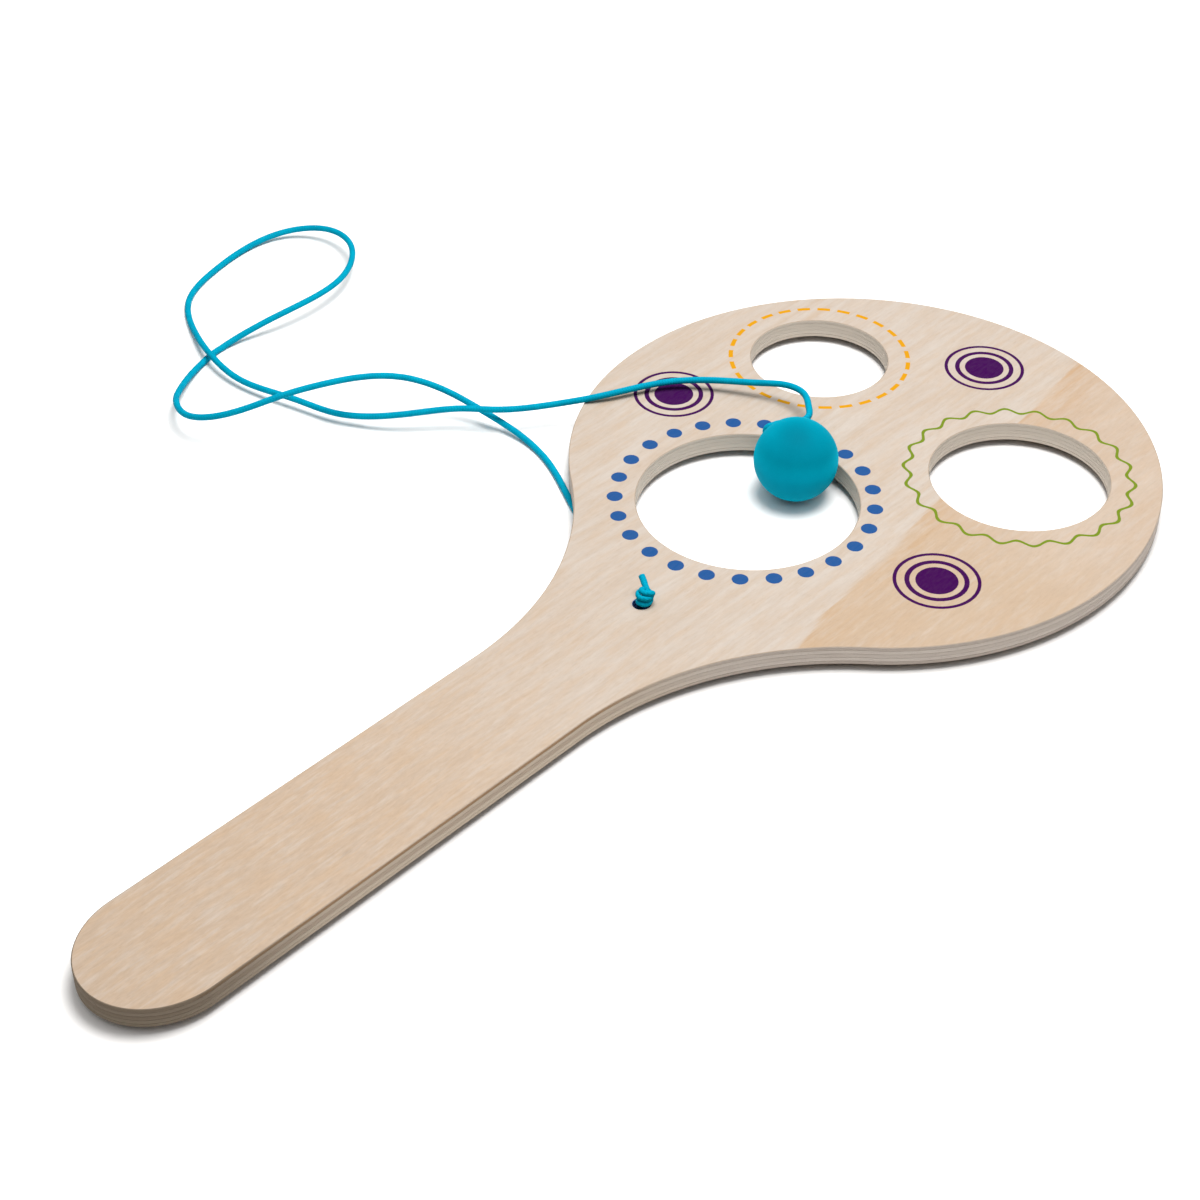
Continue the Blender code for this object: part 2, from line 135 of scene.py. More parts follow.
# %% [markdown]
# ## The cord's route
#
# The cord is one length of springy, round, braided line, 2 mm thick. It is knotted on top of the neck
# bore, turns under the board, runs over the ground in low arches with one small and one long loop, and
# comes back over the head's left edge to the ball. Its points are listed along the photographed line, in
# millimetres. Their heights come from its shadow, which lies farther from the cord the higher an arch
# rises.

# %% Cord route
CORD_RADIUS = 0.001
GROUND_ROUTE = MM * np.array((
    (-30.0, 18.3, 1.0), (-56.0, 31.8, 1.0), (-83.2, 43.6, 1.3), (-104.1, 41.7, 5.6),
    (-114.4, 37.0, 10.0), (-123.6, 30.1, 13.4), (-135.2, 7.7, 16.8), (-140.7, -2.8, 15.7),
    (-153.2, -19.7, 10.4), (-163.3, -23.6, 7.9), (-173.5, -19.6, 6.4), (-179.4, -13.8, 4.4),
    (-189.9, 3.2, 1.1), (-192.5, 14.6, 1.1), (-188.5, 32.6, 5.3), (-190.9, 66.0, 6.0),
    (-202.6, 79.2, 6.3), (-219.0, 81.5, 4.9), (-228.9, 75.1, 2.9), (-230.3, 42.4, 1.0),
    (-222.1, 24.8, 1.1), (-204.2, 12.7, 2.1), (-188.6, 6.3, 3.8), (-174.3, 4.2, 3.0),
    (-150.6, 8.4, 3.5), (-136.4, 12.1, 3.3), (-115.2, 26.2, 6.3), (-105.6, 36.0, 7.5),
    (-97.2, 42.3, 7.9), (-84.4, 58.3, 8.3),
))
BOARD_ROUTE = MM * np.array((
    (-77.7, 65.5, 9.9), (-65.0, 87.3, 10.9), (-53.7, 96.2, 12.1), (-42.6, 102.2, 13.4),
    (-34.5, 105.0, 15.0), (-27.0, 104.0, 16.0), (-21.0, 99.0, 16.4), (-18.0, 94.6, 16.2),
    (-19.4, 91.8, 15.0), (-22.2, 89.0, 13.9),
))
print("hand-chosen points:", len(GROUND_ROUTE) + len(BOARD_ROUTE))

# %% [markdown]
# ## The stopper knot
#
# On the neck bore the cord ends in a small overhand knot, pulled tight, with a short tail. Three bands
# of it show from the front, one above another. The tail goes down inside them, and the cord comes out
# of them into the bore. A tight knot has no simple formula, so its line is listed point by point, each
# point as millimetres to the side, away from the camera and up from the middle of the bore's rim. Where
# bands touch, their tubes run a little into each other, as the soft cord does when it is squeezed.

# %% Neck knot
KNOT_CORD_RADIUS = 0.0008
TAIL_RADIUS = 0.00093
NECK_BORE = np.array((-0.0018, HEAD_Y - 0.0959, BOARD_TOP))
NECK_BORE_RADIUS = 0.0025
KNOT_SIDE = (0.73, 0.68, 0.0)
BORE_STEP_AHEAD = 0.0008
BORE_HEADROOM = 0.001
BEND_RADIUS = 0.003
BEND_STEPS = 3
UP = np.array((0.0, 0.0, 1.0))
NECK_KNOT = MM * np.array((
    (0.1, 5.8, 5.2), (0.7, 3.9, 4.7), (1.1, 2.4, 4.4), (1.6, 1.0, 4.0), (1.6, 0.3, 3.2),
    (0.6, 0.1, 2.2), (-0.4, 0.1, 1.6), (-0.9, -0.5, 1.4), (-0.3, -1.2, 1.2), (0.8, -1.5, 1.1),
    (1.9, -1.1, 1.2), (2.5, -0.1, 1.6), (2.1, 0.9, 2.2), (1.0, 1.5, 2.8), (-0.1, 1.3, 3.3),
    (-0.8, 0.6, 3.5), (-0.9, -0.2, 3.4), (-0.5, -0.9, 3.1), (0.5, -1.3, 3.0), (1.6, -1.3, 2.9),
    (2.4, -0.6, 2.8), (2.7, 0.5, 2.8), (2.0, 1.4, 3.3), (0.9, 1.5, 3.9), (0.0, 0.8, 4.3),
    (0.1, 0.0, 4.4), (0.9, -0.5, 4.3), (1.9, -0.6, 4.2), (2.8, -0.2, 3.9), (3.0, 0.6, 3.2),
    (2.3, 1.3, 2.2), (1.1, 1.5, 1.1), (0.2, 1.2, 0.0),
))
TAIL_POINTS = 4


def unit(ways):
    """Directions divided by their lengths."""
    return ways / np.linalg.norm(ways, axis=-1, keepdims=True)


heading = unit(np.array((*(GROUND_ROUTE[1][:2] - NECK_BORE[:2]), 0.0)))
knot_side = unit(np.array(KNOT_SIDE))
knot_directions = np.array((knot_side, np.cross(UP, knot_side), UP))
neck_route = NECK_BORE + NECK_KNOT @ knot_directions
standing = NECK_BORE + heading * BORE_STEP_AHEAD
bend = np.linspace(0.0, math.pi / 2, BEND_STEPS + 1)[:, None]
foot = np.array((*standing[:2], CORD_RADIUS + BEND_RADIUS))
bore_bend = foot + BEND_RADIUS * ((1 - np.cos(bend)) * heading - np.sin(bend) * UP)
under_board = np.array((*(standing + heading * 3 * BEND_RADIUS)[:2], CORD_RADIUS))
bore_route = np.vstack((foot + UP * BORE_HEADROOM, bore_bend, under_board))
print("neck knot points:", len(neck_route) + len(bore_route))

# %% [markdown]
# ## The ball's place, and its knot
#
# The ball rests on the ground and leans on the rim of the large hole, 0.3 mm clear of it. Its bore
# points away from the camera and a little upward. The cord comes out of the blind bore, opens out in a
# spiral inside the countersunk mouth and wraps once round before it leaves on the far side.
#
# This knot is a helix: each point is radius (cos t side + sin t across) + height along the bore's axis.
# Over the spiral the radius and the height grow together. Round the wrap the radius stays, the height
# climbs evenly, and a lean raises it more and more on the far side from the helix's side.

# %% Ball place and its knot
ball_low, ball_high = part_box("ball")
BALL_CENTRE = np.array((ball_low + ball_high) / 2)
BALL_RADIUS = (ball_high.z - ball_low.z) / 2
BORE_AZIMUTH = math.radians(165.0)
BORE_RISE = math.radians(12.0)
BALL_BORE_RADIUS = 0.0021
BALL_BORE_DEPTH = 0.011
MOUTH_RADIUS = 0.0034
DRILL_POINT = math.radians(118.0)
SPIRAL_START = 0.1
SPIRAL_TURNS = 0.4
SPIRAL_STEPS = 5
SPIRAL_SLACK = 0.0011
WRAP_TURNS = 1.25
WRAP_STEPS = 15
WRAP_RADIUS = 0.00185
WRAP_PITCH = 0.0015
WRAP_LEAN = 0.4
BALL_BORE_POINTS = (0.0010, 0.0022, 0.0040, 0.0060)
CORD_LEAVING = 0.0016

level_way = np.array((math.cos(BORE_AZIMUTH), math.sin(BORE_AZIMUTH), 0.0))
bore_axis = math.cos(BORE_RISE) * level_way + math.sin(BORE_RISE) * UP
bore_side = unit(np.cross(bore_axis, UP))
bore_across = np.cross(bore_axis, bore_side)
mouth_depth = math.sqrt(BALL_RADIUS**2 - MOUTH_RADIUS**2)
opening = mouth_depth - MOUTH_RADIUS + SPIRAL_SLACK
steps = (0, SPIRAL_STEPS, SPIRAL_STEPS + WRAP_STEPS)
turns = np.interp(range(steps[-1] + 1), steps, (0.0, SPIRAL_TURNS, SPIRAL_TURNS + WRAP_TURNS))[:, None]
t = 2 * math.pi * (SPIRAL_START + turns)
reach = WRAP_RADIUS * np.minimum(turns / SPIRAL_TURNS, 1.0)
wrapped = np.maximum(turns - SPIRAL_TURNS, 0.0)
lean = WRAP_LEAN * wrapped / WRAP_TURNS * reach * np.cos(t)
height = opening + reach + WRAP_PITCH * wrapped - lean
sideways = np.cos(t) * bore_side + np.sin(t) * bore_across
ball_knot = BALL_CENTRE + reach * sideways + height * bore_axis
leaving = ball_knot[-1] + unit(ball_knot[-1] - ball_knot[-2]) * CORD_LEAVING
into_ball = BALL_CENTRE + bore_axis * (opening - np.array(BALL_BORE_POINTS)[:, None])
ball_route = np.vstack((leaving, ball_knot[::-1], into_ball))
print("ball centre:", np.round(BALL_CENTRE / MM, 2), "mm, radius", round(BALL_RADIUS / MM, 2))

# %% [markdown]
# ## From points to a tube
#
# A natural cubic spline has no kink anywhere and is the shape that a thin springy line takes between
# guides, so it reads as cord and not as bent wire. The tube's rings need a frame that does not spin
# about the line. Any frame will do at first: the spin between neighbours is measured after carrying one
# ring's side to the next by two reflections, and the running sum of that spin is then turned back out.

# %% Spline and tube
CORD_STEP = 0.0003
CORD_SIDES = 20
NO_LENGTH = 1e-20


def smooth_curve(route, step):
    """Natural cubic spline through points, read at an even step of its parameter.

    The parameter is the distance from point to point. Second derivatives solve the spline's
    three-term system, with none at either end. Returns points and the parameter of each route point.
    """
    spans = np.linalg.norm(np.diff(route, axis=0), axis=1)
    stations = np.concatenate(([0.0], np.cumsum(spans)))
    slopes = np.diff(route, axis=0) / spans[:, None]
    rows = np.arange(1, len(route) - 1)
    system = np.eye(len(route))
    system[rows, rows - 1] = spans[:-1]
    system[rows, rows] = 2 * (spans[:-1] + spans[1:])
    system[rows, rows + 1] = spans[1:]
    wanted = np.zeros(route.shape)
    wanted[rows] = 6 * np.diff(slopes, axis=0)
    bends = np.linalg.solve(system, wanted)
    reads = np.linspace(0.0, stations[-1], math.ceil(stations[-1] / step) + 1)
    span = np.clip(np.searchsorted(stations, reads, side="right") - 1, 0, len(spans) - 1)
    width = spans[span][:, None]
    before = (stations[span + 1] - reads)[:, None] / width
    after = 1 - before
    sag = (before**3 - before) * bends[span] + (after**3 - after) * bends[span + 1]
    return before * route[span] + after * route[span + 1] + sag * width**2 / 6, reads, stations


def mirrored(ways, normals):
    """Each direction less twice its part along its normal; a normal of no length changes nothing."""
    size = np.maximum((normals**2).sum(1)[:, None], NO_LENGTH)
    return ways - 2 * normals * (normals * ways).sum(1)[:, None] / size


def carried_sides(path):
    """Two unit sides at each point of a path, square to it and each other, without spin about it."""
    tangents = unit(np.gradient(path, axis=0))
    least = np.argmin(np.abs(tangents), axis=1)
    sides = unit(np.cross(tangents, np.roll(np.eye(3), 1, axis=0)[least]))
    step = np.diff(path, axis=0)
    lean = tangents[1:] - mirrored(tangents[:-1], step)
    moved = mirrored(mirrored(sides[:-1], step), lean)
    ahead = np.cross(tangents[1:], moved)
    spin = np.arctan2((ahead * sides[1:]).sum(1), (moved * sides[1:]).sum(1))
    back = -np.concatenate(([0.0], np.cumsum(spin)))[:, None]
    across = np.cross(tangents, sides)
    first = sides * np.cos(back) + across * np.sin(back)
    return first, np.cross(tangents, first)


def next_in_ring(count, first=0):
    """For each of count vertices in a ring, numbered from first, the number of the one after it."""
    return np.roll(np.arange(first, first + count), -1)


def grid_faces(rows, after):
    """Four-cornered faces of a grid of rows, from the number of the column after each column."""
    here = np.arange(len(after))
    corners = np.stack((here, after, after + len(after), here + len(after)), axis=1)
    return (corners + len(after) * np.arange(rows - 1)[:, None, None]).reshape(-1, 4)


def fan_faces(ring, middle):
    """Triangles from a ring of vertices to a middle one, wound as the ring is."""
    return np.stack((ring, np.roll(ring, -1), np.full(len(ring), middle)), axis=1)


def rings_along(middles, radii, first, second, sides, ends):
    """Vertices and faces of round rings along a line, both ends closed by a fan to a vertex.

    Ring k is middle k + radius k (cos a first + sin a second), a from 0 to a full turn.
    """
    a = np.linspace(0.0, 2 * math.pi, sides, endpoint=False)[:, None]
    rings = middles[:, None] + radii[:, None, None] * (np.cos(a) * first + np.sin(a) * second)
    vertices = np.vstack((rings.reshape(-1, 3), ends))
    start_ring = np.arange(sides)
    end_ring = start_ring + (len(middles) - 1) * sides
    start_cap = fan_faces(start_ring[::-1], len(vertices) - 2)
    end_cap = fan_faces(end_ring, len(vertices) - 1)
    return vertices, [*grid_faces(len(middles), next_in_ring(sides)), *start_cap, *end_cap]


def mesh_piece(name, vertices, faces, finishes, finish_of_face=None, smooth=True):
    """A piece at the origin, from vertices and faces as arrays, with its finishes in slots."""
    mesh = bpy.data.meshes.new(name)
    mesh.from_pydata(vertices.tolist(), [], [face.tolist() for face in faces])
    for finish in finishes:
        mesh.materials.append(finish)
    if finish_of_face is not None:
        mesh.polygons.foreach_set("material_index", np.asarray(finish_of_face, np.int32))
    mesh.polygons.foreach_set("use_smooth", np.broadcast_to(smooth, len(mesh.polygons)).tolist())
    mesh.update()
    return placed(name, mesh)


def tube(name, cord, finish):
    """A round cord, from rows of its place, its radius and the distance along it.

    The UV map holds the share of a turn and the distance along the cord in metres. Both ends are flat,
    as on a cord that is cut square.
    """
    path, radii, along = cord[:, :3], cord[:, 3], cord[:, 4]
    first, second = carried_sides(path)
    vertices, faces = rings_along(
        path, radii, first[:, None], second[:, None], CORD_SIDES, path[[0, -1]]
    )
    wall_count = (len(path) - 1) * CORD_SIDES
    piece = mesh_piece(name, vertices, faces, [finish], smooth=np.arange(len(faces)) < wall_count)
    row, column = np.divmod(np.arange(wall_count), CORD_SIDES)
    around = np.stack((column, column + 1, column + 1, column), axis=1) / CORD_SIDES
    onward = along[np.stack((row, row, row + 1, row + 1), axis=1)]
    wall_uv = np.stack((around, onward), axis=-1).reshape(-1, 2)
    cap_uv = np.repeat([[0.0, along[0]], [0.0, along[-1]]], 3 * CORD_SIDES, axis=0)
    uv = np.vstack((wall_uv, cap_uv)).astype(np.float32)
    piece.data.uv_layers.new(name="cord_map").data.foreach_set("uv", uv.ravel())
    return piece


whole_route = np.vstack((neck_route, bore_route, GROUND_ROUTE, BOARD_ROUTE, ball_route))
cord_line, reads, stations = smooth_curve(whole_route, CORD_STEP)
cord_line[:, 2] = np.maximum(cord_line[:, 2], CORD_RADIUS)
cord_along = np.concatenate(([0.0], np.cumsum(np.linalg.norm(np.diff(cord_line, axis=0), axis=1))))

# %% [markdown]
# ## Building shader formulas
#
# Every finish below is a formula of the place on the piece, in millimetres. The small class here lets
# a number that changes over a surface be added and multiplied with the usual signs, and each sign makes
# one Math node. The helpers after it make noise, soft steps and mixed colours. A Mix node has entries
# for numbers, places and colours, so its two colours and its result are taken by number. From the neck
# bore's wall to a little past its rim, light and shade are painted: a blue reflection of the cord on
# the wood, and shade on the cord inside. The two distances are in millimetres.

# %% Shader helpers
FULL_LIGHT = 1.80
MIX_FIRST = 6
MIX_SECOND = 7
MIX_RESULT = 2
BORE_PAINTED_LIGHT_REACH = (0.7, 0.4)


def pigment(red, green, blue):
    """The pigment that shows as this display colour, 0 to 255, where the studio light falls fully.

    The display's own curve is undone first, and the light is then divided out.
    """
    shown = np.array((red, green, blue)) / 255
    linear = np.where(shown <= 0.04045, shown / 12.92, ((shown + 0.055) / 1.055) ** 2.4)
    return (*(float(part) for part in linear / FULL_LIGHT), 1.0)


def sign(operation, swapped=False):
    """A method that answers a sign of arithmetic with one Math node."""

    def answer(*parts):
        return maths(operation, *(parts[::-1] if swapped else parts))

    return answer


class Amount:
    """A number that changes over a surface: one output socket, with the signs of arithmetic."""

    __add__ = __radd__ = sign("ADD")
    __sub__ = sign("SUBTRACT")
    __rsub__ = sign("SUBTRACT", swapped=True)
    __mul__ = __rmul__ = sign("MULTIPLY")
    __truediv__ = sign("DIVIDE")
    __pow__ = sign("POWER")
    __abs__ = sign("ABSOLUTE")

    def __init__(self, socket):
        self.socket = socket
        self.tree = socket.id_data


def feed(entry, value):
    """Links an amount or a socket to a node's entry, or sets the entry to a plain value."""
    if isinstance(value, Amount):
        value = value.socket
    if isinstance(value, bpy.types.NodeSocket):
        entry.id_data.links.new(value, entry)
    else:
        entry.default_value = value


def add_node(tree, kind, entries=(), **settings):
    """A shader node with its settings, and with its entries fed by name or by number."""
    node = tree.nodes.new("ShaderNode" + kind)
    for label, value in settings.items():
        setattr(node, label, value)
    for label, value in dict(entries).items():
        feed(node.inputs[label], value)
    return node


def tree_of(*parts):
    """The node tree of the first amount among amounts and plain numbers."""
    return next(part for part in parts if isinstance(part, Amount)).tree


def maths(operation, *parts):
    """One Math node over amounts and plain numbers."""
    node = add_node(tree_of(*parts), "Math", dict(enumerate(parts)), operation=operation)
    return Amount(node.outputs[0])


def soft_step(amount, low, high):
    """0 below low, 1 above high, and a smooth rise between them; low and high may be swapped."""
    entries = {"Value": amount, "From Min": low, "From Max": high}
    node = add_node(amount.tree, "MapRange", entries, interpolation_type="SMOOTHSTEP")
    return Amount(node.outputs["Result"])


def place_of(x, y, z=0.0):
    """A place put together from three amounts or numbers."""
    return add_node(tree_of(x, y, z), "CombineXYZ", {"X": x, "Y": y, "Z": z}).outputs[0]


def parts_of(place):
    """The three amounts of a place."""
    node = add_node(place.id_data, "SeparateXYZ", {0: place})
    return [Amount(part) for part in node.outputs]


def noise(place, detail=2.0, roughness=0.5, scale=1.0):
    """Smooth noise from 0 to 1 with lumps about one unit across."""
    entries = {"Vector": place, "Scale": scale, "Detail": detail, "Roughness": roughness}
    return Amount(add_node(place.id_data, "TexNoise", entries).outputs["Fac"])


def marks(x, y, z, wide, long, thick, detail, roughness, low, high):
    """Marks about as wide, long and thick as given: noise drawn out to them, then a soft step."""
    return soft_step(noise(place_of(x / wide, y / long, z / thick), detail, roughness), low, high)


def mixed(share, first, second):
    """A colour that goes from the first, where share is 0, to the second, where it is 1."""
    entries = {0: share, MIX_FIRST: first, MIX_SECOND: second}
    return add_node(share.tree, "Mix", entries, data_type="RGBA").outputs[MIX_RESULT]


def toned(colour, share):
    """A colour multiplied by one amount: paler above 1, deeper below."""
    return add_node(share.tree, "VectorMath", {0: colour, "Scale": share}, operation="SCALE").outputs[0]


def reach_from(x, y, middle_x, middle_y):
    """Distance in the plane from a middle, all in millimetres: Pythagoras."""
    return ((x - middle_x) ** 2 + (y - middle_y) ** 2) ** 0.5


def from_bore(x, y):
    """Distance from the middle of the neck bore."""
    return reach_from(x, y, *NECK_BORE[:2] / MM)


def near_bore(x, y):
    """1 in and on the walls of the neck bore and 0 around it."""
    return soft_step(from_bore(x, y), *(NECK_BORE_RADIUS / MM + np.array(BORE_PAINTED_LIGHT_REACH)))


def new_finish(name, roughness, specular):
    """A finish with a plain roughness and shine.

    Returns it with its shader and with the place on its piece, the Object coordinates in millimetres.
    """
    finish = bpy.data.materials.new(name)
    finish.use_nodes = True
    tree = finish.node_tree
    shader = tree.nodes["Principled BSDF"]
    feed(shader.inputs["Roughness"], roughness)
    feed(shader.inputs["Specular IOR Level"], specular)
    entries = {0: add_node(tree, "TexCoord").outputs["Object"], "Scale": 1 / MM}
    return finish, shader, add_node(tree, "VectorMath", entries, operation="SCALE").outputs[0]


def surface(shader, colour, height, depth):
    """Gives a finish its colour, and a surface that rises by a height times a depth in metres."""
    node = add_node(shader.id_data, "Bump", {"Distance": depth, "Height": height})
    feed(shader.inputs["Base Color"], colour)
    feed(shader.inputs["Normal"], node.outputs["Normal"])


def use_group(group, entries):
    """Puts a group into the finish that its Place comes from; returns its results by name."""
    node = add_node(entries["Place"].id_data, "Group", entries, node_tree=group)
    return {result.name: Amount(result) for result in node.outputs}


print("full light:", FULL_LIGHT)

# %% [markdown]
# ## The cord's finish
#
# The line is a fine braid. Two sets of strands run round it in opposite turns and pass over and under
# each other. On the tube's own map, with turns and distance counted in strands, the valleys of one set
# lie where turn + distance is whole, and those of the other where turn - distance is whole, so the
# braid follows every bend. The valleys are painted darker, as shade, and the line holds a little less
# dye in places. The turns at the foot of the neck knot are painted paler, as light, and down in the
# bore the cord is painted nearly black, as shade. Those heights are in millimetres from the board's
# top, and the distances are from the bore's middle.

# %% Braided cord
STRANDS = 6.0
BRAID_PITCH = 0.0052
BRAID_DEPTH = 0.00004
DYE_DRIFT = (0.5, 1 / 260, 1.0, 3.0, 0.5, 0.3, 0.7)
KNOT_FOOT_LIGHT_REACH = (6.0, 4.0)
KNOT_FOOT_LIGHT_HEIGHT = (3.0, 1.6)
IN_BORE_SHADE_HEIGHT = (0.1, -0.6)

cord_dye, shader, place = new_finish("cord_dye", roughness=0.62, specular=0.02)
cord_map = add_node(place.id_data, "UVMap", uv_map="cord_map")
turn, distance, _ = parts_of(cord_map.outputs["UV"])
onward = distance * (STRANDS / BRAID_PITCH)
rising = turn * STRANDS + onward
falling = turn * STRANDS - onward
over = soft_step(maths("SINE", (rising + falling) * math.pi), -0.25, 0.25)
rising_ridge = abs(maths("SINE", rising * math.pi))
falling_ridge = abs(maths("SINE", falling * math.pi))
ridge = rising_ridge * over + falling_ridge * (1.0 - over)
dye_drift = marks(turn, distance, 0.0, *DYE_DRIFT)
x, y, z = parts_of(place)
above = z - BOARD_TOP / MM
# painted light: the turns at the knot's foot are made paler
knot_foot_painted_light = soft_step(from_bore(x, y), *KNOT_FOOT_LIGHT_REACH) * soft_step(above, *KNOT_FOOT_LIGHT_HEIGHT)
# painted shade: the cord down in the neck bore is made nearly black
cord_in_bore_painted_shade = near_bore(x, y) * soft_step(above, *IN_BORE_SHADE_HEIGHT)
colour = mixed(dye_drift, pigment(0, 188, 227), pigment(0, 201, 238))
# painted shade in the braid's valleys, and painted light at the knot's foot
colour = toned(colour, 0.8 + 0.2 * ridge + 0.3 * knot_foot_painted_light)
surface(shader, mixed(cord_in_bore_painted_shade * 0.85, colour, pigment(10, 30, 60)), ridge, BRAID_DEPTH)
print("strands each way:", int(STRANDS), "pitch", round(BRAID_PITCH / MM, 1), "mm")

# %% [markdown]
# ## The cord's two pieces
#
# The ball can be lifted, and the cord must follow it. The knot on the neck and the loops on the ground
# stay with the paddle. From a point left of the board on, the stretch to the ball is a second piece,
# which is not tied to either body here. The two tubes share the ring where they meet.

# %% Cord pieces
CUT_AFTER = 20
KNOT_TURN = 2 * math.pi * WRAP_RADIUS

bare_points = len(neck_route) + len(bore_route)
neck_end = stations[len(neck_route)]
ball_start = stations[-len(ball_route)]
cut = int(np.searchsorted(reads, stations[bare_points + CUT_AFTER]))
tail_root = stations[TAIL_POINTS - 1]
radius_marks = np.array(
    (
        (tail_root / 2, TAIL_RADIUS),
        (tail_root, KNOT_CORD_RADIUS),
        (neck_end, KNOT_CORD_RADIUS),
        (neck_end + KNOT_TURN / 4, CORD_RADIUS),
        (ball_start - KNOT_TURN / 4, CORD_RADIUS),
        (ball_start, KNOT_CORD_RADIUS),
    )
)
radii = np.interp(reads, *radius_marks.T)
cord = np.column_stack((cord_line, radii, cord_along))
ground_part = slice(0, cut + 1)
lead_part = slice(cut, None)
cord_on_ground = tube("cord_on_ground", cord[ground_part], cord_dye)
cord_to_ball = tube("cord_to_ball", cord[lead_part], cord_dye)
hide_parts("neck_knot", "cord_run")
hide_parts("cord_lead", "ball_knot")
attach(cord_on_ground, "paddle")
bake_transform(cord_to_ball)

# %% [markdown]
# ## The board's outline
#
# A paddle like this is cut from sheet along arcs that meet without a corner: a round head, two hollow
# neck arcs, straight sides and a half-ellipse at the handle's end. The neck arcs touch both the head's
# circle and the handle's sides, which fixes their centres. Each rim is kept as points and as the
# direction into the wood, so the wall at any depth is the rim moved by that depth. The neck bore is
# drilled after the sanding, so its directions are short and its rim stays nearly square.

# %% Outline
HANDLE_HALF_WIDTH = 0.0195
NECK_ARC_RADIUS = 0.0967
HANDLE_END_LENGTH = 0.0215
OUTLINE_STEP = 0.0011
BORE_WEAR = 0.3
HOLES = {
    "large": (0.0325, -0.0113, -0.0397),
    "middle": (0.0264, 0.0393, 0.0238),
    "small": (0.0214, -0.0427, 0.0319),
    "neck bore": (NECK_BORE_RADIUS, NECK_BORE[0], NECK_BORE[1] - HEAD_Y),
}
LEAST_ARC_POINTS = 48


def arc(centre, radius, start, end, stretch=1.0):
    """Points at centre + radius (cos t, stretch sin t), t from start to end, at the outline's step."""
    count = max(math.ceil(radius * abs(end - start) / OUTLINE_STEP), LEAST_ARC_POINTS)
    t = np.linspace(start, end, count + 1)[:-1]
    return np.stack((centre[0] + radius * np.cos(t), centre[1] + radius * stretch * np.sin(t)), axis=1)


def side(start, end):
    """Points along a straight side at the outline's step, without its last one."""
    start, end = np.array(start), np.array(end)
    count = math.ceil(np.linalg.norm(end - start) / OUTLINE_STEP)
    return start + (end - start) * np.linspace(0.0, 1.0, count + 1)[:-1, None]


def into_wood(rim):
    """Unit directions to the left of a rim's run, which is into the wood for every rim here."""
    run = unit(np.roll(rim, -1, axis=0) - np.roll(rim, 1, axis=0))
    return np.stack((-run[:, 1], run[:, 0]), axis=1)


reach = HANDLE_HALF_WIDTH + NECK_ARC_RADIUS
drop = math.sqrt((HEAD_RADIUS + NECK_ARC_RADIUS) ** 2 - reach**2)
meeting = math.atan2(drop, reach)
neck_y = HEAD_Y - drop
end_y = HEAD_Y + HEAD_RADIUS - PADDLE_LENGTH + HANDLE_END_LENGTH
outline = np.vstack(
    (
        arc((0.0, HEAD_Y), HEAD_RADIUS, -meeting, math.pi + meeting),
        arc((-reach, neck_y), NECK_ARC_RADIUS, meeting, 0.0),
        side((-HANDLE_HALF_WIDTH, neck_y), (-HANDLE_HALF_WIDTH, end_y)),
        arc((0.0, end_y), HANDLE_HALF_WIDTH, math.pi, 2 * math.pi,
            HANDLE_END_LENGTH / HANDLE_HALF_WIDTH),
        side((HANDLE_HALF_WIDTH, end_y), (HANDLE_HALF_WIDTH, neck_y)),
        arc((reach, neck_y), NECK_ARC_RADIUS, math.pi, math.pi - meeting),
    )
)
rims = [outline]
for radius, x, y in HOLES.values():
    rims.append(arc((x, HEAD_Y + y), radius, 0.0, -2 * math.pi))
rim_points = np.vstack(rims)
rim_inward = np.vstack([into_wood(rim) * (BORE_WEAR if rim is rims[-1] else 1.0) for rim in rims])
rim_after = np.empty(0, int)
for rim in rims:
    rim_after = np.append(rim_after, next_in_ring(len(rim), len(rim_after)))
print("outline points:", len(outline), "with the holes:", len(rim_points))

# %% [markdown]
# ## Filling the flat faces
#
# The face between the rims is filled with even triangles: a grid of extra points is spread over the
# board, those too near a rim or off the wood are dropped, and a constrained triangulation joins the
# rest with the rims. Triangles whose middle falls in a hole or outside the outline are thrown away.

# %% Face triangles
FILL_STEP = 0.004
RIM_MARGIN = 0.0018
NEAREST_POINTS = 1e-9


def inside(rim, points):
    """True for each point that a closed rim goes round, by counting the rim's crossings to its right."""
    start, end = rim[None], np.roll(rim, -1, axis=0)[None]
    y = points[:, 1][:, None]
    spans = (start[..., 1] > y) != (end[..., 1] > y)
    rise = np.where(spans, end[..., 1] - start[..., 1], 1.0)
    crossing = start[..., 0] + (y - start[..., 1]) / rise * (end[..., 0] - start[..., 0])
    return (spans & (points[:, 0][:, None] < crossing)).sum(1) % 2 == 1


def on_wood(points, margin=0.0):
    """True for each point inside the outline, outside every hole and a margin away from all rims."""
    kept = inside(outline, points)
    for radius, x, y in HOLES.values():
        kept &= np.hypot(points[:, 0] - x, points[:, 1] - HEAD_Y - y) > radius + margin
    if margin:
        rows = np.arange(len(points))[kept]
        gaps = np.linalg.norm(points[rows][:, None] - outline[None], axis=2).min(1)
        kept[rows] = gaps > margin
    return kept


x, y = np.meshgrid(
    np.arange(face_low.x, face_high.x, FILL_STEP),
    np.arange(face_low.y, face_high.y, FILL_STEP * math.sqrt(3) / 2),
)
x = x + FILL_STEP / 2 * (np.arange(len(x)) % 2)[:, None]
fill_points = np.stack((x.ravel(), y.ravel()), axis=1)
fill_points = fill_points[on_wood(fill_points, RIM_MARGIN)]
flat_points = np.vstack((rim_points, fill_points))
rim_edges = np.stack((np.arange(len(rim_points)), rim_after), axis=1).tolist()
filled = geometry.delaunay_2d_cdt([Vector(p) for p in flat_points], rim_edges, [], 0, NEAREST_POINTS)
triangles = np.array(filled[2])
triangles = triangles[on_wood(flat_points[triangles].mean(axis=1))]
print("points on the face:", len(filled[0]), "of", len(flat_points), "triangles:", len(triangles))

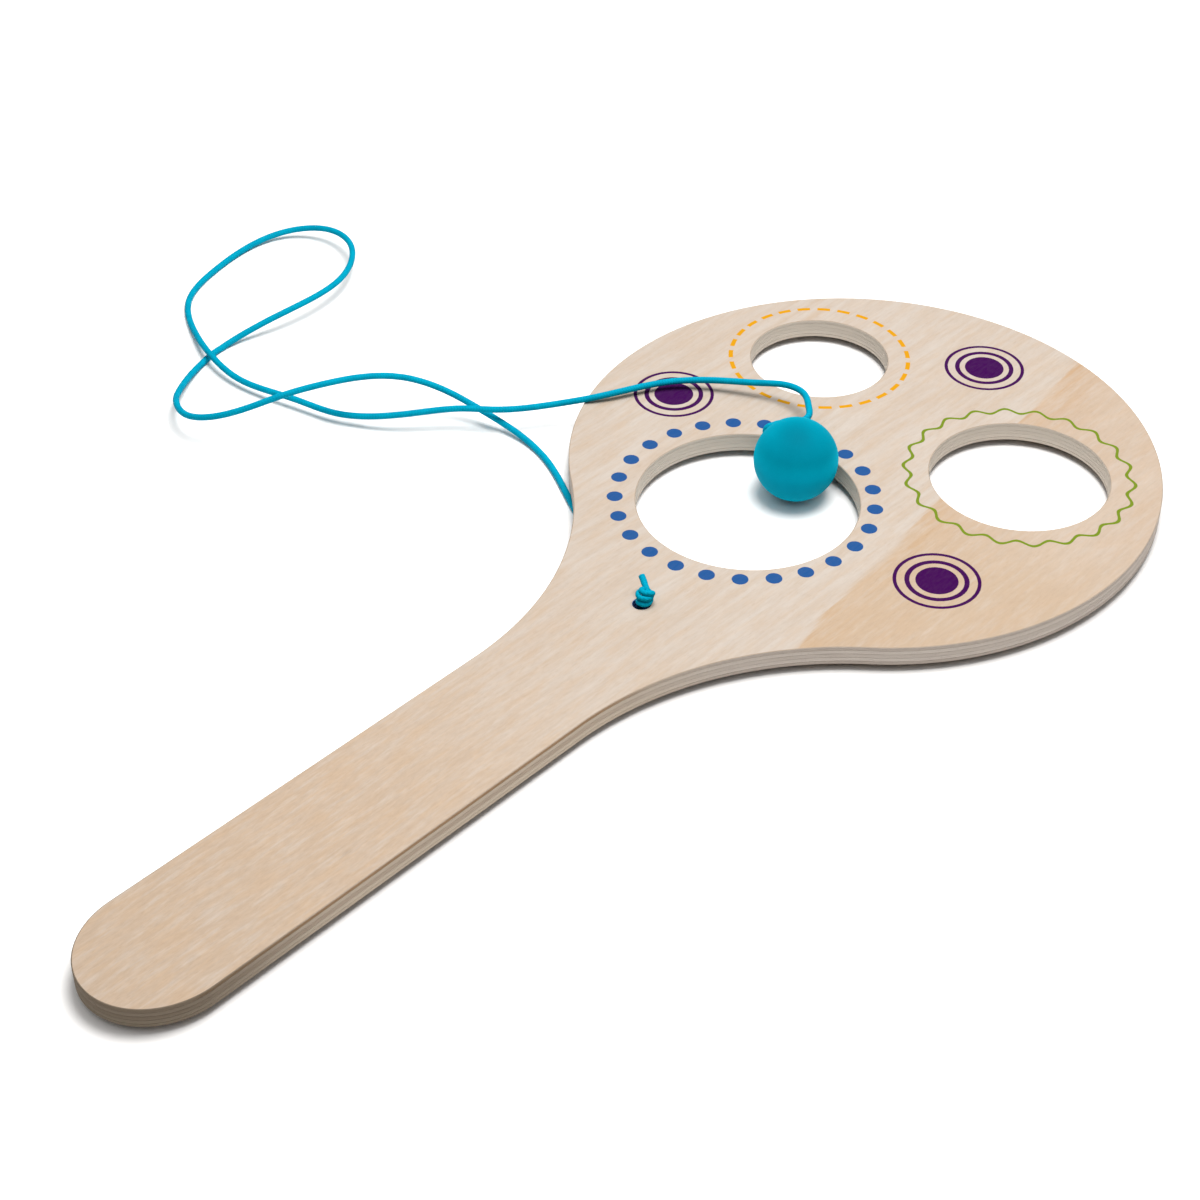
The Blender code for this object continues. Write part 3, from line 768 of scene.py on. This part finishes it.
# %% [markdown]
# ## The five veneers
#
# A veneer is the rims carried up its wall profile, a list of heights with how far the wall lies back in
# the wood there. Sanding rounds the board's two outer rims. Saw and sander also leave each veneer very
# slightly proud in its middle and worn at the glue lines, which is what makes plies show as stripes on
# the edge, so every wall bulges by a few hundredths of a millimetre.

# %% Veneer walls
RIM_EASE = 0.0003
EASE_STEPS = 6
GLUE_WEAR = 0.00003
GLUE_WEAR_HEIGHT = 0.00012
PROUD_WEAR = GLUE_WEAR / 5


def worn_wall(low, high):
    """Wall profile of an inner veneer: worn back at both glue lines, proud in the middle."""
    heights = (low, low + GLUE_WEAR_HEIGHT, (low + high) / 2, high - GLUE_WEAR_HEIGHT, high)
    return list(zip(heights, (GLUE_WEAR, PROUD_WEAR, 0.0, PROUD_WEAR, GLUE_WEAR)))


def eased_wall(glue, outer):
    """Wall profile of an outer veneer: worn at its glue line, a quarter round at its outer rim."""
    way = math.copysign(1.0, outer - glue)
    t = np.linspace(0.0, math.pi / 2, EASE_STEPS)
    heights = outer - way * RIM_EASE * (1 - np.sin(t))
    depths = RIM_EASE * (1 - np.cos(t))
    start = [(glue, GLUE_WEAR), (glue + way * GLUE_WEAR_HEIGHT, PROUD_WEAR)]
    return start + list(zip(heights, depths))


def veneer(name, profile, face_finish, edge_finish):
    """A veneer: rims carried up the profile, bottom and top filled with the face's triangles."""
    heights, depths = np.array(profile).T
    rings = rim_points[None] + depths[:, None, None] * rim_inward[None]
    level = np.broadcast_to(heights[:, None, None], (*rings.shape[:2], 1))
    wall_vertices = np.concatenate((rings, level), axis=2).reshape(-1, 3)
    bottom, top = [
        np.column_stack((fill_points, np.full(len(fill_points), height))) for height in heights[[0, -1]]
    ]
    walls = grid_faces(len(profile), rim_after)
    per_level = len(rim_points)
    on_rim = triangles < per_level
    bottom_first = len(wall_vertices) - per_level
    top_first = bottom_first + len(fill_points)
    low = np.where(on_rim, triangles, triangles + bottom_first)
    high = np.where(on_rim, triangles + bottom_first, triangles + top_first)
    faces = [*walls, *low[:, ::-1], *high]
    vertices = np.vstack((wall_vertices, bottom, top))
    flat = np.arange(len(faces)) >= len(walls)
    return mesh_piece(name, vertices, faces, [edge_finish, face_finish], flat.astype(int), ~flat)


profiles = {name: worn_wall(*levels[name]) for name in VENEERS[1:-1]}
profiles["ply_back"] = eased_wall(levels["ply_back"][1], levels["ply_back"][0])[::-1]
profiles["ply_face"] = eased_wall(*levels["ply_face"])
print("wall steps of the face veneer:", len(profiles["ply_face"]))

# %% [markdown]
# ## Wood grain
#
# The veneer is a pale, close-grained wood with very little figure. What the eye reads as wood is
# the same thing in several sizes, all drawn out along the grain: broad drifts of tone, streaks a few
# millimetres wide, fine lines, flecks, and pores that are short dashes. One node group makes them all,
# and each wood uses it with its own widths. The group takes the place in millimetres, grain along Y.
# Each row below is a mark's width, length and thickness, the noise's detail and roughness, and the two
# limits of its soft step.

# %% Grain group
GRAIN_SIZES = {"Streak Width": 2.2, "Streak Length": 34.0, "Wander": 5.0}

grain = bpy.data.node_groups.new("veneer_grain", "ShaderNodeTree")
grain.interface.new_socket("Place", in_out="INPUT", socket_type="NodeSocketVector")
for label, value in GRAIN_SIZES.items():
    entry = grain.interface.new_socket(label, in_out="INPUT", socket_type="NodeSocketFloat")
    entry.default_value = value
given = grain.nodes.new("NodeGroupInput").outputs
width = Amount(given["Streak Width"])
length = Amount(given["Streak Length"])
x, y, z = parts_of(given["Place"])
sway = (noise(place_of(x / 45.0, y / 70.0, z / 9.0)) - 0.5) * Amount(given["Wander"])
bent = x + sway
grain_marks = {
    "Tone": (width * 7.0, length * 2.0, 6.0, 2.0, 0.5, 0.3, 0.7),
    "Streaks": (width, length, 3.0, 4.0, 0.6, 0.3, 0.7),
    "Lines": (width * 0.3, length * 0.3, 2.0, 3.0, 0.7, 0.3, 0.7),
    "Pores": (0.17, 2.6, 0.6, 1.0, 0.5, 0.6, 0.74),
    "Flecks": (0.8, 3.0, 0.6, 3.0, 0.75, 0.3, 0.7),
}
for label in grain_marks:
    grain.interface.new_socket(label, in_out="OUTPUT", socket_type="NodeSocketFloat")
result = grain.nodes.new("NodeGroupOutput")
for label, mark in grain_marks.items():
    feed(result.inputs[label], marks(bent, y, z, *mark))
print("grain group results:", list(grain_marks))

# %% [markdown]
# ## The bare face
#
# The face veneer is two woods in one sheet. Left of a line that runs down the head it is pale cream
# sapwood, and right of it warmer, peach-coloured wood with orange streaks that are strongest just
# beside the line. Toward the handle the sheet turns a little browner. The boundary is a straight line
# in X and Y, x = 29 mm - 0.14 y from the head's middle, roughened by noise along the grain. The colour
# starts as cream or peach, and each tint is then laid over it by its own share. A small dent, a bell
# curve of the distance from its middle, marks the handle.

# %% Bare wood colour
SEAM_AT_HEAD = 29.0
SEAM_LEAN = 0.139
SEAM_RAG = 7.0
SEAM_WIDTH = (-0.8, 1.8)
FLUSH_START = (0.0, 1.4)
FLUSH_END = (34.0, 2.0)
FLUSH_DRIFT = (15.0, 1.0)
GOLDEN_PART = (15.0, -25.0)
HANDLE_PART = (20.0, -120.0)
HEAD_Y_MM = HEAD_Y / MM
DENT = (10.0, -116.0)
DENT_STRETCH = 1.7
DENT_SHARPNESS = -1.1
DRIFT = (3.0, 36.0, 1.0, 3.0, 0.6, 0.4, 0.66)
BLUSH = (3.2, 13.0, 1.0, 3.0, 0.62, 0.42, 0.66)
BRIGHT = (1.8, 13.0, 1.0, 4.0, 0.62, 0.42, 0.74)


def bare_face(place):
    """Grain marks, colour and height of the bare face veneer, as formulas of the place."""
    wood = use_group(grain, {"Place": place})
    x, y, _ = parts_of(place)
    ahead = y - HEAD_Y_MM
    ragged = (noise(place_of(x / 3.0, y / 28.0), 4.0) - 0.5) * SEAM_RAG
    past = x + ahead * SEAM_LEAN - SEAM_AT_HEAD + ragged
    warm = soft_step(past, *SEAM_WIDTH)
    handle = soft_step(y, *HANDLE_PART)
    drifts = marks(x, y, 4.0, *DRIFT) * soft_step(past, *FLUSH_DRIFT)
    flushed = soft_step(past, *FLUSH_START) * soft_step(past, *FLUSH_END) * (0.2 + 0.7 * drifts)
    golden = warm * soft_step(ahead, *GOLDEN_PART)
    pale = mixed(wood["Tone"], pigment(237, 224, 211), pigment(233, 217, 202))
    peach = mixed(wood["Tone"], pigment(235, 213, 192), pigment(229, 202, 177))
    colour = mixed(warm, pale, peach)
    tints = (
        (wood["Streaks"] * 0.7, pigment(226, 203, 180)),
        (flushed, pigment(224, 182, 138)),
        (golden * 0.45, pigment(224, 193, 158)),
        (handle * 0.8, pigment(226, 197, 168)),
        (marks(x, y, 14.0, *BLUSH) * (0.25 + 0.25 * handle), pigment(233, 201, 168)),
        (marks(x, y, 9.0, *BRIGHT) * (0.32 + 0.12 * handle), pigment(240, 228, 216)),
        (wood["Pores"] * 0.16, pigment(180, 146, 112)),
    )
    for share, tint in tints:
        colour = mixed(share, colour, tint)
    lined = (0.03 + 0.03 * handle) * wood["Lines"]
    flecked = (0.04 + 0.04 * handle) * wood["Flecks"]
    off = (x - DENT[0]) ** 2 + ((y - DENT[1]) / DENT_STRETCH) ** 2
    dent = maths("EXPONENT", off * DENT_SHARPNESS)
    colour = toned(colour, 1.03 + 0.07 * handle - lined - flecked - 0.12 * dent)
    height = 1.0 - 0.35 * wood["Lines"] - 0.5 * wood["Pores"] - 6.0 * dent
    return wood, colour, height


print("seam leans", round(math.degrees(math.atan(SEAM_LEAN)), 1), "degrees from the grain")

# %% [markdown]
# ## The printed rings
#
# The prints are plain geometry in four inks, so each is a distance: how far a place is from the
# nearest dot, dash, wave or circle, compared with half the stroke. Repeats come from rounding the angle
# to the nearest multiple of the spacing. Ink creeps a little along the fibres, so the distance gets a
# touch of noise, and the ink thins where the grain is open.

# %% Ink shapes
DOT_RING = {"place": (-12.45, -39.65), "radius": 37.7, "count": 25, "first": 135.6, "dot": 2.35}
DASH_RING = {
    "place": (-43.0, 32.3), "radius": 27.7, "count": 27, "first": 6.0, "dash": 8.4, "stroke": 1.4
}
WAVE_RING = {
    "place": (39.05, 23.84), "radius": 32.72, "count": 22, "first": 1.73, "swing": 1.1, "stroke": 1.05
}
TARGET_PLACES = ((-62.7, -14.1), (-1.67, 62.75), (51.23, -32.27))
TARGET_DISC = 5.98
TARGET_CIRCLES = ((8.32, 1.42), (11.78, 1.05))
INK_SOFTNESS = 0.09


def ring_place(x, y, ring):
    """Distance from a ring's middle, and the angle in radians from the nearest of its even marks."""
    angle = maths("ARCTAN2", y - ring["place"][1], x - ring["place"][0])
    spacing = 2 * math.pi / ring["count"]
    marks_round = (angle - math.radians(ring["first"])) / spacing
    return reach_from(x, y, *ring["place"]), (marks_round - maths("ROUND", marks_round)) * spacing


def inked(distance, half_stroke):
    """1 under the ink and 0 outside it, with a soft edge at half the stroke from the line."""
    return soft_step(distance, half_stroke + INK_SOFTNESS, half_stroke - INK_SOFTNESS)


def dots(x, y, creep):
    """Dots: the cosine rule gives the distance to the nearest dot's middle."""
    reach, angle = ring_place(x, y, DOT_RING)
    radius = DOT_RING["radius"]
    square = reach**2 + radius**2 - reach * maths("COSINE", angle) * (2 * radius)
    return inked(maths("MAXIMUM", square, 0.0) ** 0.5 + creep, DOT_RING["dot"])


def dashes(x, y, creep):
    """Dashes: near the ring's circle, and within half a dash of the nearest mark."""
    reach, angle = ring_place(x, y, DASH_RING)
    radius = DASH_RING["radius"]
    across = inked(abs(reach - radius) + creep, DASH_RING["stroke"] / 2)
    return across * inked(abs(angle) * radius + creep, math.radians(DASH_RING["dash"] / 2) * radius)


def wave(x, y, creep):
    """Wave: the radius swings as a cosine of the angle."""
    reach, angle = ring_place(x, y, WAVE_RING)
    swing = maths("COSINE", angle * WAVE_RING["count"]) * WAVE_RING["swing"]
    return inked(abs(reach - swing - WAVE_RING["radius"]) + creep, WAVE_RING["stroke"] / 2)


def targets(x, y, creep):
    """Targets: a disc and two circles round the nearest of three middles."""
    reaches = [reach_from(x, y, *middle) for middle in TARGET_PLACES]
    reach = maths("MINIMUM", maths("MINIMUM", reaches[0], reaches[1]), reaches[2])
    shape = inked(reach + creep, TARGET_DISC)
    for radius, stroke in TARGET_CIRCLES:
        shape = maths("MAXIMUM", shape, inked(abs(reach - radius) + creep, stroke / 2))
    return shape


INKS = (
    (dots, pigment(42, 99, 169)),
    (dashes, pigment(252, 178, 20)),
    (wave, pigment(136, 160, 42)),
    (targets, pigment(72, 6, 92)),
)
print("dots:", DOT_RING["count"], "dashes:", DASH_RING["count"], "waves:", WAVE_RING["count"])

# %% [markdown]
# ## Face and back finishes
#
# The face is the bare wood with the four inks laid over it. Ink is quite matt and nearly fills the
# pores, so the wood shows through only as faint flecks. The back has the same wood without ink, painted
# much darker as shade, so that it sends little light into the narrow gap under the board.

# %% Face and back
INK_COVER = 0.995
BARE_SHINE = 0.12
GRAIN_DEPTH = 0.00003
INK_CREEP = 0.16
BACK_SHADE_TONE = 0.52

face_finish, shader, place = new_finish("face_veneer", roughness=0.6, specular=BARE_SHINE)
wood, colour, height = bare_face(place)
x, y, _ = parts_of(place)
creep = (noise(place_of(x / 0.35, y / 1.1)) - 0.5) * INK_CREEP
cover = INK_COVER - 0.02 * wood["Pores"] - 0.02 * wood["Flecks"]
bare = 1.0
for shape, ink in INKS:
    covered = shape(x, y - HEAD_Y_MM, creep)
    colour = mixed(covered * cover, colour, ink)
    bare = bare - covered
feed(shader.inputs["Specular IOR Level"], bare * BARE_SHINE)
surface(shader, colour, height, GRAIN_DEPTH)

back_finish, shader, place = new_finish("back_veneer", roughness=0.62, specular=BARE_SHINE)
wood, colour, height = bare_face(place)
# painted shade: the back is made much darker, to keep the gap under the board dark
surface(shader, toned(colour, BACK_SHADE_TONE - 0.06 * wood["Streaks"]), height, GRAIN_DEPTH)
print("inks:", len(INKS))

# %% [markdown]
# ## Cut edges
#
# On the edge the veneers show their cut fibres, which are greyer than the sanded face. Fine lines run
# along each ply, and short strokes cross it where the cutter met end grain. On the handle's straight
# sides the face veneer is burnished brown. Light and shade are painted on the edges as well: the lower
# plies of the handle's sides are painted pale, as light from the ground; the whole edge round the
# handle's end is painted darker, as shade; the rounded rims are painted darker, as shade; the walls of
# the holes are painted the palest, as light; and the neck bore's wall is painted blue, as the cord's
# reflection. Heights and places are in millimetres.

# %% Edge finishes
HOLE_WALL_LIGHT = (2.0, 1.5)
EDGE_LAYERS = (24.0, 24.0, 0.22, 4.0, 0.62, 0.34, 0.66)
EDGE_PATCHES = (7.0, 7.0, 1.4, 3.0, 0.5, 0.3, 0.7)
EDGE_DEPTH = 0.00004
HANDLE_EDGE = (10.0, -45.0)
HANDLE_TIP_SHADE = (-120.0, -175.0)
LOWER_PLIES_LIGHT = (5.0, 3.6)
TOP_PLY = (6.0, 6.6)
STRAIGHT_SIDE = (0.3, 0.1)
ROUNDED_RIM_SHADE = (0.35, 0.75)


def hole_wall_painted_light(x, y):
    """1 on the walls of the three holes and 0 on the outline, by the distance from each middle."""
    shares = []
    for radius, middle_x, middle_y in list(HOLES.values())[:3]:
        reach = reach_from(x, y, middle_x / MM, (HEAD_Y + middle_y) / MM)
        shares.append(soft_step(reach, radius / MM + HOLE_WALL_LIGHT[0], radius / MM + HOLE_WALL_LIGHT[1]))
    return shares[0] + shares[1] + shares[2]


def edge_finish(name, light, dark, handle_tone, outer=False):
    """A cut edge: layers along the board's thickness, broken slowly along the edge."""
    finish, shader, place = new_finish(name, roughness=0.72, specular=0.05)
    x, y, z = parts_of(place)
    shade = marks(x, y, z, *EDGE_LAYERS) * 0.6 + marks(x, y, z, *EDGE_PATCHES) * 0.4
    strokes = noise(place_of(x / 0.35, y / 0.35, z / 0.9))
    handle = soft_step(y, *HANDLE_EDGE)
    tints = [
        (soft_step(strokes, 0.56, 0.74) * 0.15, pigment(150, 130, 110)),
        # painted light: the walls of the holes are made paler
        (hole_wall_painted_light(x, y) * 0.7, pigment(255, 243, 226)),
        (handle * 0.7, handle_tone),
        # painted light from the ground: the lower plies of the handle's sides are made paler
        (handle * soft_step(z, *LOWER_PLIES_LIGHT) * 0.65, pigment(255, 238, 214)),
    ]
    if outer:
        _, ahead, upward = parts_of(add_node(place.id_data, "TexCoord").outputs["Normal"])
        burnished = soft_step(abs(ahead), *STRAIGHT_SIDE) * handle * soft_step(z, *TOP_PLY)
        tints.append((burnished * 0.85, pigment(192, 154, 116)))
        # painted shade: the rounded rims are made darker
        tints.append((soft_step(abs(upward), *ROUNDED_RIM_SHADE), pigment(212, 192, 172)))
    # painted shade: the whole edge round the handle's end is made darker
    tints.append((soft_step(y, *HANDLE_TIP_SHADE) * 0.75, pigment(130, 115, 96)))
    # painted reflection: the neck bore's wall is made blue, as the cord's light on it
    tints.append((near_bore(x, y) * 0.9, pigment(104, 160, 255)))
    colour = mixed(shade, light, dark)
    for share, tint in tints:
        colour = mixed(share, colour, tint)
    surface(shader, colour, shade * 0.5 + strokes * 0.5, EDGE_DEPTH)
    return finish


outer_edge = edge_finish(
    "outer_edge", pigment(230, 216, 204), pigment(218, 204, 191), pigment(216, 192, 163), outer=True
)
cross_edge = edge_finish(
    "cross_edge", pigment(250, 238, 226), pigment(242, 228, 216), pigment(240, 218, 192)
)
core_edge = edge_finish(
    "core_edge", pigment(242, 229, 217), pigment(232, 218, 205), pigment(218, 194, 166)
)
finishes = {
    "ply_face": (face_finish, outer_edge, "face_veneer"),
    "ply_cross_upper": (cross_edge, cross_edge, "cross_veneer"),
    "ply_core": (core_edge, core_edge, "core_veneer"),
    "ply_cross_lower": (cross_edge, cross_edge, "cross_veneer"),
    "ply_back": (back_finish, outer_edge, "face_veneer"),
}
for name, (on_face, on_edge, slot_name) in finishes.items():
    piece = veneer(name + "_wood", profiles[name], on_face, on_edge)
    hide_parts(name)
    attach(piece, "paddle")
    print(name, "faces:", len(piece.data.polygons))

# %% [markdown]
# ## The ball
#
# The ball is turned and painted wood. Its surface is a profile turned round the bore's axis: from the
# drill point up the blind bore, out along the countersink, over a small worn lip and round the sphere.
# The rings are made from the profile's other end, so that every face looks outward. Nothing in the
# silhouette is flat, because every ring is a true circle.

# %% Ball surface
BALL_RINGS = 120
BALL_SIDES = 160
BORE_RINGS = 12
CONE_RINGS = 4
LIP_RINGS = 6
LIP_RADIUS = 0.00035

bore_bottom = BALL_RADIUS - BALL_BORE_DEPTH
drill_tip = bore_bottom - BALL_BORE_RADIUS / math.tan(DRILL_POINT / 2)
cone_foot = mouth_depth - (MOUTH_RADIUS - BALL_BORE_RADIUS)
rim_angle = math.asin(MOUTH_RADIUS / BALL_RADIUS)
bore_rim = np.array((BALL_BORE_RADIUS, cone_foot))
bore_points = np.linspace((BALL_BORE_RADIUS, bore_bottom), bore_rim, BORE_RINGS)
lip_start = np.array((MOUTH_RADIUS - LIP_RADIUS, mouth_depth - LIP_RADIUS))
lip_corner = np.array((MOUTH_RADIUS, mouth_depth))
lip_end_angle = rim_angle + LIP_RADIUS / BALL_RADIUS
lip_end = BALL_RADIUS * np.array((math.sin(lip_end_angle), math.cos(lip_end_angle)))
cone_points = np.linspace(bore_rim, lip_start, CONE_RINGS + 2)[1:-1]
share = np.linspace(0.0, 1.0, LIP_RINGS)[:, None]
lip = (1 - share) ** 2 * lip_start + 2 * share * (1 - share) * lip_corner + share**2 * lip_end
angles = np.linspace(lip_end_angle, math.pi, BALL_RINGS)[1:-1]
sphere = BALL_RADIUS * np.column_stack((np.sin(angles), np.cos(angles)))
profile = np.vstack((bore_points, cone_points, lip, sphere))[::-1]
middles = BALL_CENTRE + profile[:, 1:] * bore_axis
poles = BALL_CENTRE + np.outer((-BALL_RADIUS, drill_tip), bore_axis)
ball_vertices, ball_faces = rings_along(
    middles, profile[:, 0], bore_side, bore_across, BALL_SIDES, poles
)
painted_rings = len(profile) - 1 - BORE_RINGS - CONE_RINGS
bare_faces = np.arange(len(ball_faces)) >= painted_rings * BALL_SIDES
bare_faces[-2 * BALL_SIDES:-BALL_SIDES] = False
print("ball faces:", len(ball_faces))

# %% [markdown]
# ## Ball paint
#
# The paint is one even, matt teal coat. A chalky coat sends light back toward where it came from, so the
# ball looks flatter than polished paint would: a rough diffuse surface and a faint sheen do the same.
# Drying leaves fine specks, and the coat drifts slowly in tone. Light and shade are painted into the
# coat to even out how the light falls on the round ball: painted paler below the middle, a little
# deeper again at the foot, a touch deeper on top, and deeper toward +X and +Y, the side nearest the
# panel. Each row below is the height in millimetres above the ground where such a part starts, the
# height where it is full, and how much paler or deeper it is. Bare wood shows inside the bore.

# %% Paint and bare bore
FULL_COAT = 1.11
PAINTED_LIGHT_LOW = (19.0, 12.6, 0.74)
PAINTED_SHADE_FOOT = (11.0, 6.0, -0.33)
PAINTED_SHADE_TOP = (22.0, 25.0, -0.1)
PAINTED_SHADE_SIDE = (5.0, 14.0)
PEEL_DEPTH = 0.00004

ball_paint, shader, place = new_finish("ball_paint", roughness=0.6, specular=0.01)
feed(shader.inputs["Diffuse Roughness"], 1.0)
feed(shader.inputs["Sheen Weight"], 0.04)
feed(shader.inputs["Sheen Tint"], pigment(0, 170, 196))
drift = soft_step(noise(place, scale=0.11), 0.3, 0.7)
peel = noise(place, scale=1.4)
specks = soft_step(noise(place, roughness=0.6, scale=3.0), 0.35, 0.65)
x, y, height = parts_of(place)
# painted shade: the coat is made deeper toward +X and +Y, the side nearest the panel
painted_shade_side = soft_step(x + y - sum(BALL_CENTRE[:2]) / MM, *PAINTED_SHADE_SIDE)
coat_and_painted_light = FULL_COAT - 0.13 * painted_shade_side - 0.05 * specks
# painted light and shade: paler below the middle, deeper at the foot and on top
for start, full, change in (PAINTED_LIGHT_LOW, PAINTED_SHADE_FOOT, PAINTED_SHADE_TOP):
    coat_and_painted_light = coat_and_painted_light + soft_step(height, start, full) * change
colour = mixed(drift, pigment(0, 177, 206), pigment(0, 182, 211))
surface(shader, toned(colour, coat_and_painted_light), peel, PEEL_DEPTH)

bore_wood, shader, place = new_finish("bare_bore", roughness=0.75, specular=0.2)
bore_grain = {"Place": place, "Streak Width": 0.6, "Streak Length": 6.0, "Wander": 1.0}
wood = use_group(grain, bore_grain)
bare_tone = mixed(wood["Streaks"], pigment(205, 180, 150), pigment(178, 148, 116))
feed(shader.inputs["Base Color"], bare_tone)

painted_ball = mesh_piece(
    "painted_ball", ball_vertices, ball_faces, [ball_paint, bore_wood], bare_faces
)
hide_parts("ball")
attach(painted_ball, "ball")
print("ball across:", round(2 * BALL_RADIUS / MM, 2), "mm")

# %% [markdown]
# ## Ground and light
#
# The toy was photographed on white ground under a bright ceiling and one soft panel above the head. The
# panel gives the short shadows with soft edges, and the ceiling fills them. The handle's end is farther
# from the panel, so it and the ground there are a little dimmer. Toward the horizon the surroundings
# are dark, so the narrow gap under the board goes dark as it does in the photograph. The ceiling comes
# in between two heights of the view, as shares of straight up. Far from the toy the ground glows a
# little, between two distances in millimetres, as a lit paper sweep does, so that it stays white from
# every side. The camera itself sees plain white beyond it.

# %% Floor and lights
FLOOR_SIZE = 6.0
PANEL_SIZE = 0.48
PANEL_PLACE = Vector((0.03, 0.13, 0.75))
PANEL_POWER = 7.3
CEILING = 0.91
HORIZON = 0.03
CEILING_EDGE = (0.45, 0.85)
SWEEP = (400.0, 1000.0)
SWEEP_GLOW = 0.6
GROUND_WHITE = (0.955, 0.94, 0.925, 1.0)
WHITE = (1.0, 1.0, 1.0, 1.0)

floor_finish, shader, place = new_finish("white_floor", roughness=0.8, specular=0.1)
x, y, _ = parts_of(place)
feed(shader.inputs["Base Color"], GROUND_WHITE)
feed(shader.inputs["Emission Strength"], soft_step(reach_from(x, y, 0.0, 0.0), *SWEEP) * SWEEP_GLOW)
corners = np.array(((-1, -1, 0), (1, -1, 0), (1, 1, 0), (-1, 1, 0))) * FLOOR_SIZE / 2
floor = mesh_piece("floor", corners, np.array(((0, 1, 2, 3),)), [floor_finish], smooth=False)
floor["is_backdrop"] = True

panel_data = bpy.data.lights.new("soft_panel", "AREA")
panel_data.shape = "DISK"
panel_data.size = PANEL_SIZE
panel_data.energy = PANEL_POWER
panel = placed("soft_panel", panel_data)
panel.location = PANEL_PLACE
panel.rotation_mode = "QUATERNION"
panel.rotation_quaternion = (PANEL_PLACE - Vector((0.0, HEAD_Y, 0.0))).to_track_quat("Z", "Y")

scene = bpy.context.scene
scene.world = scene.world or bpy.data.worlds.new("surroundings")
scene.world.use_nodes = True
tree = scene.world.node_tree
backdrop = tree.nodes["Background"]
_, _, upward = parts_of(add_node(tree, "TexCoord").outputs["Generated"])
sky = HORIZON + soft_step(upward, *CEILING_EDGE) * (CEILING - HORIZON)
seen = Amount(add_node(tree, "LightPath").outputs["Is Camera Ray"])
feed(backdrop.inputs["Strength"], sky * (1.0 - seen) + seen)
feed(backdrop.inputs["Color"], WHITE)
scene.view_settings.view_transform = "Standard"
print("panel", PANEL_POWER, "W over", PANEL_SIZE, "m")

# %% [markdown]
# ## Sizes, and the end
#
# The dressed toy has to keep to the imported model's box within a fraction of a millimetre.

# %% Print the boxes and finish
dressed_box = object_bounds()
for label, box in (("packed", cad_box), ("dressed", dressed_box)):
    print(label, "size, mm:", [round((high - low) / MM, 1) for low, high in zip(*box)])
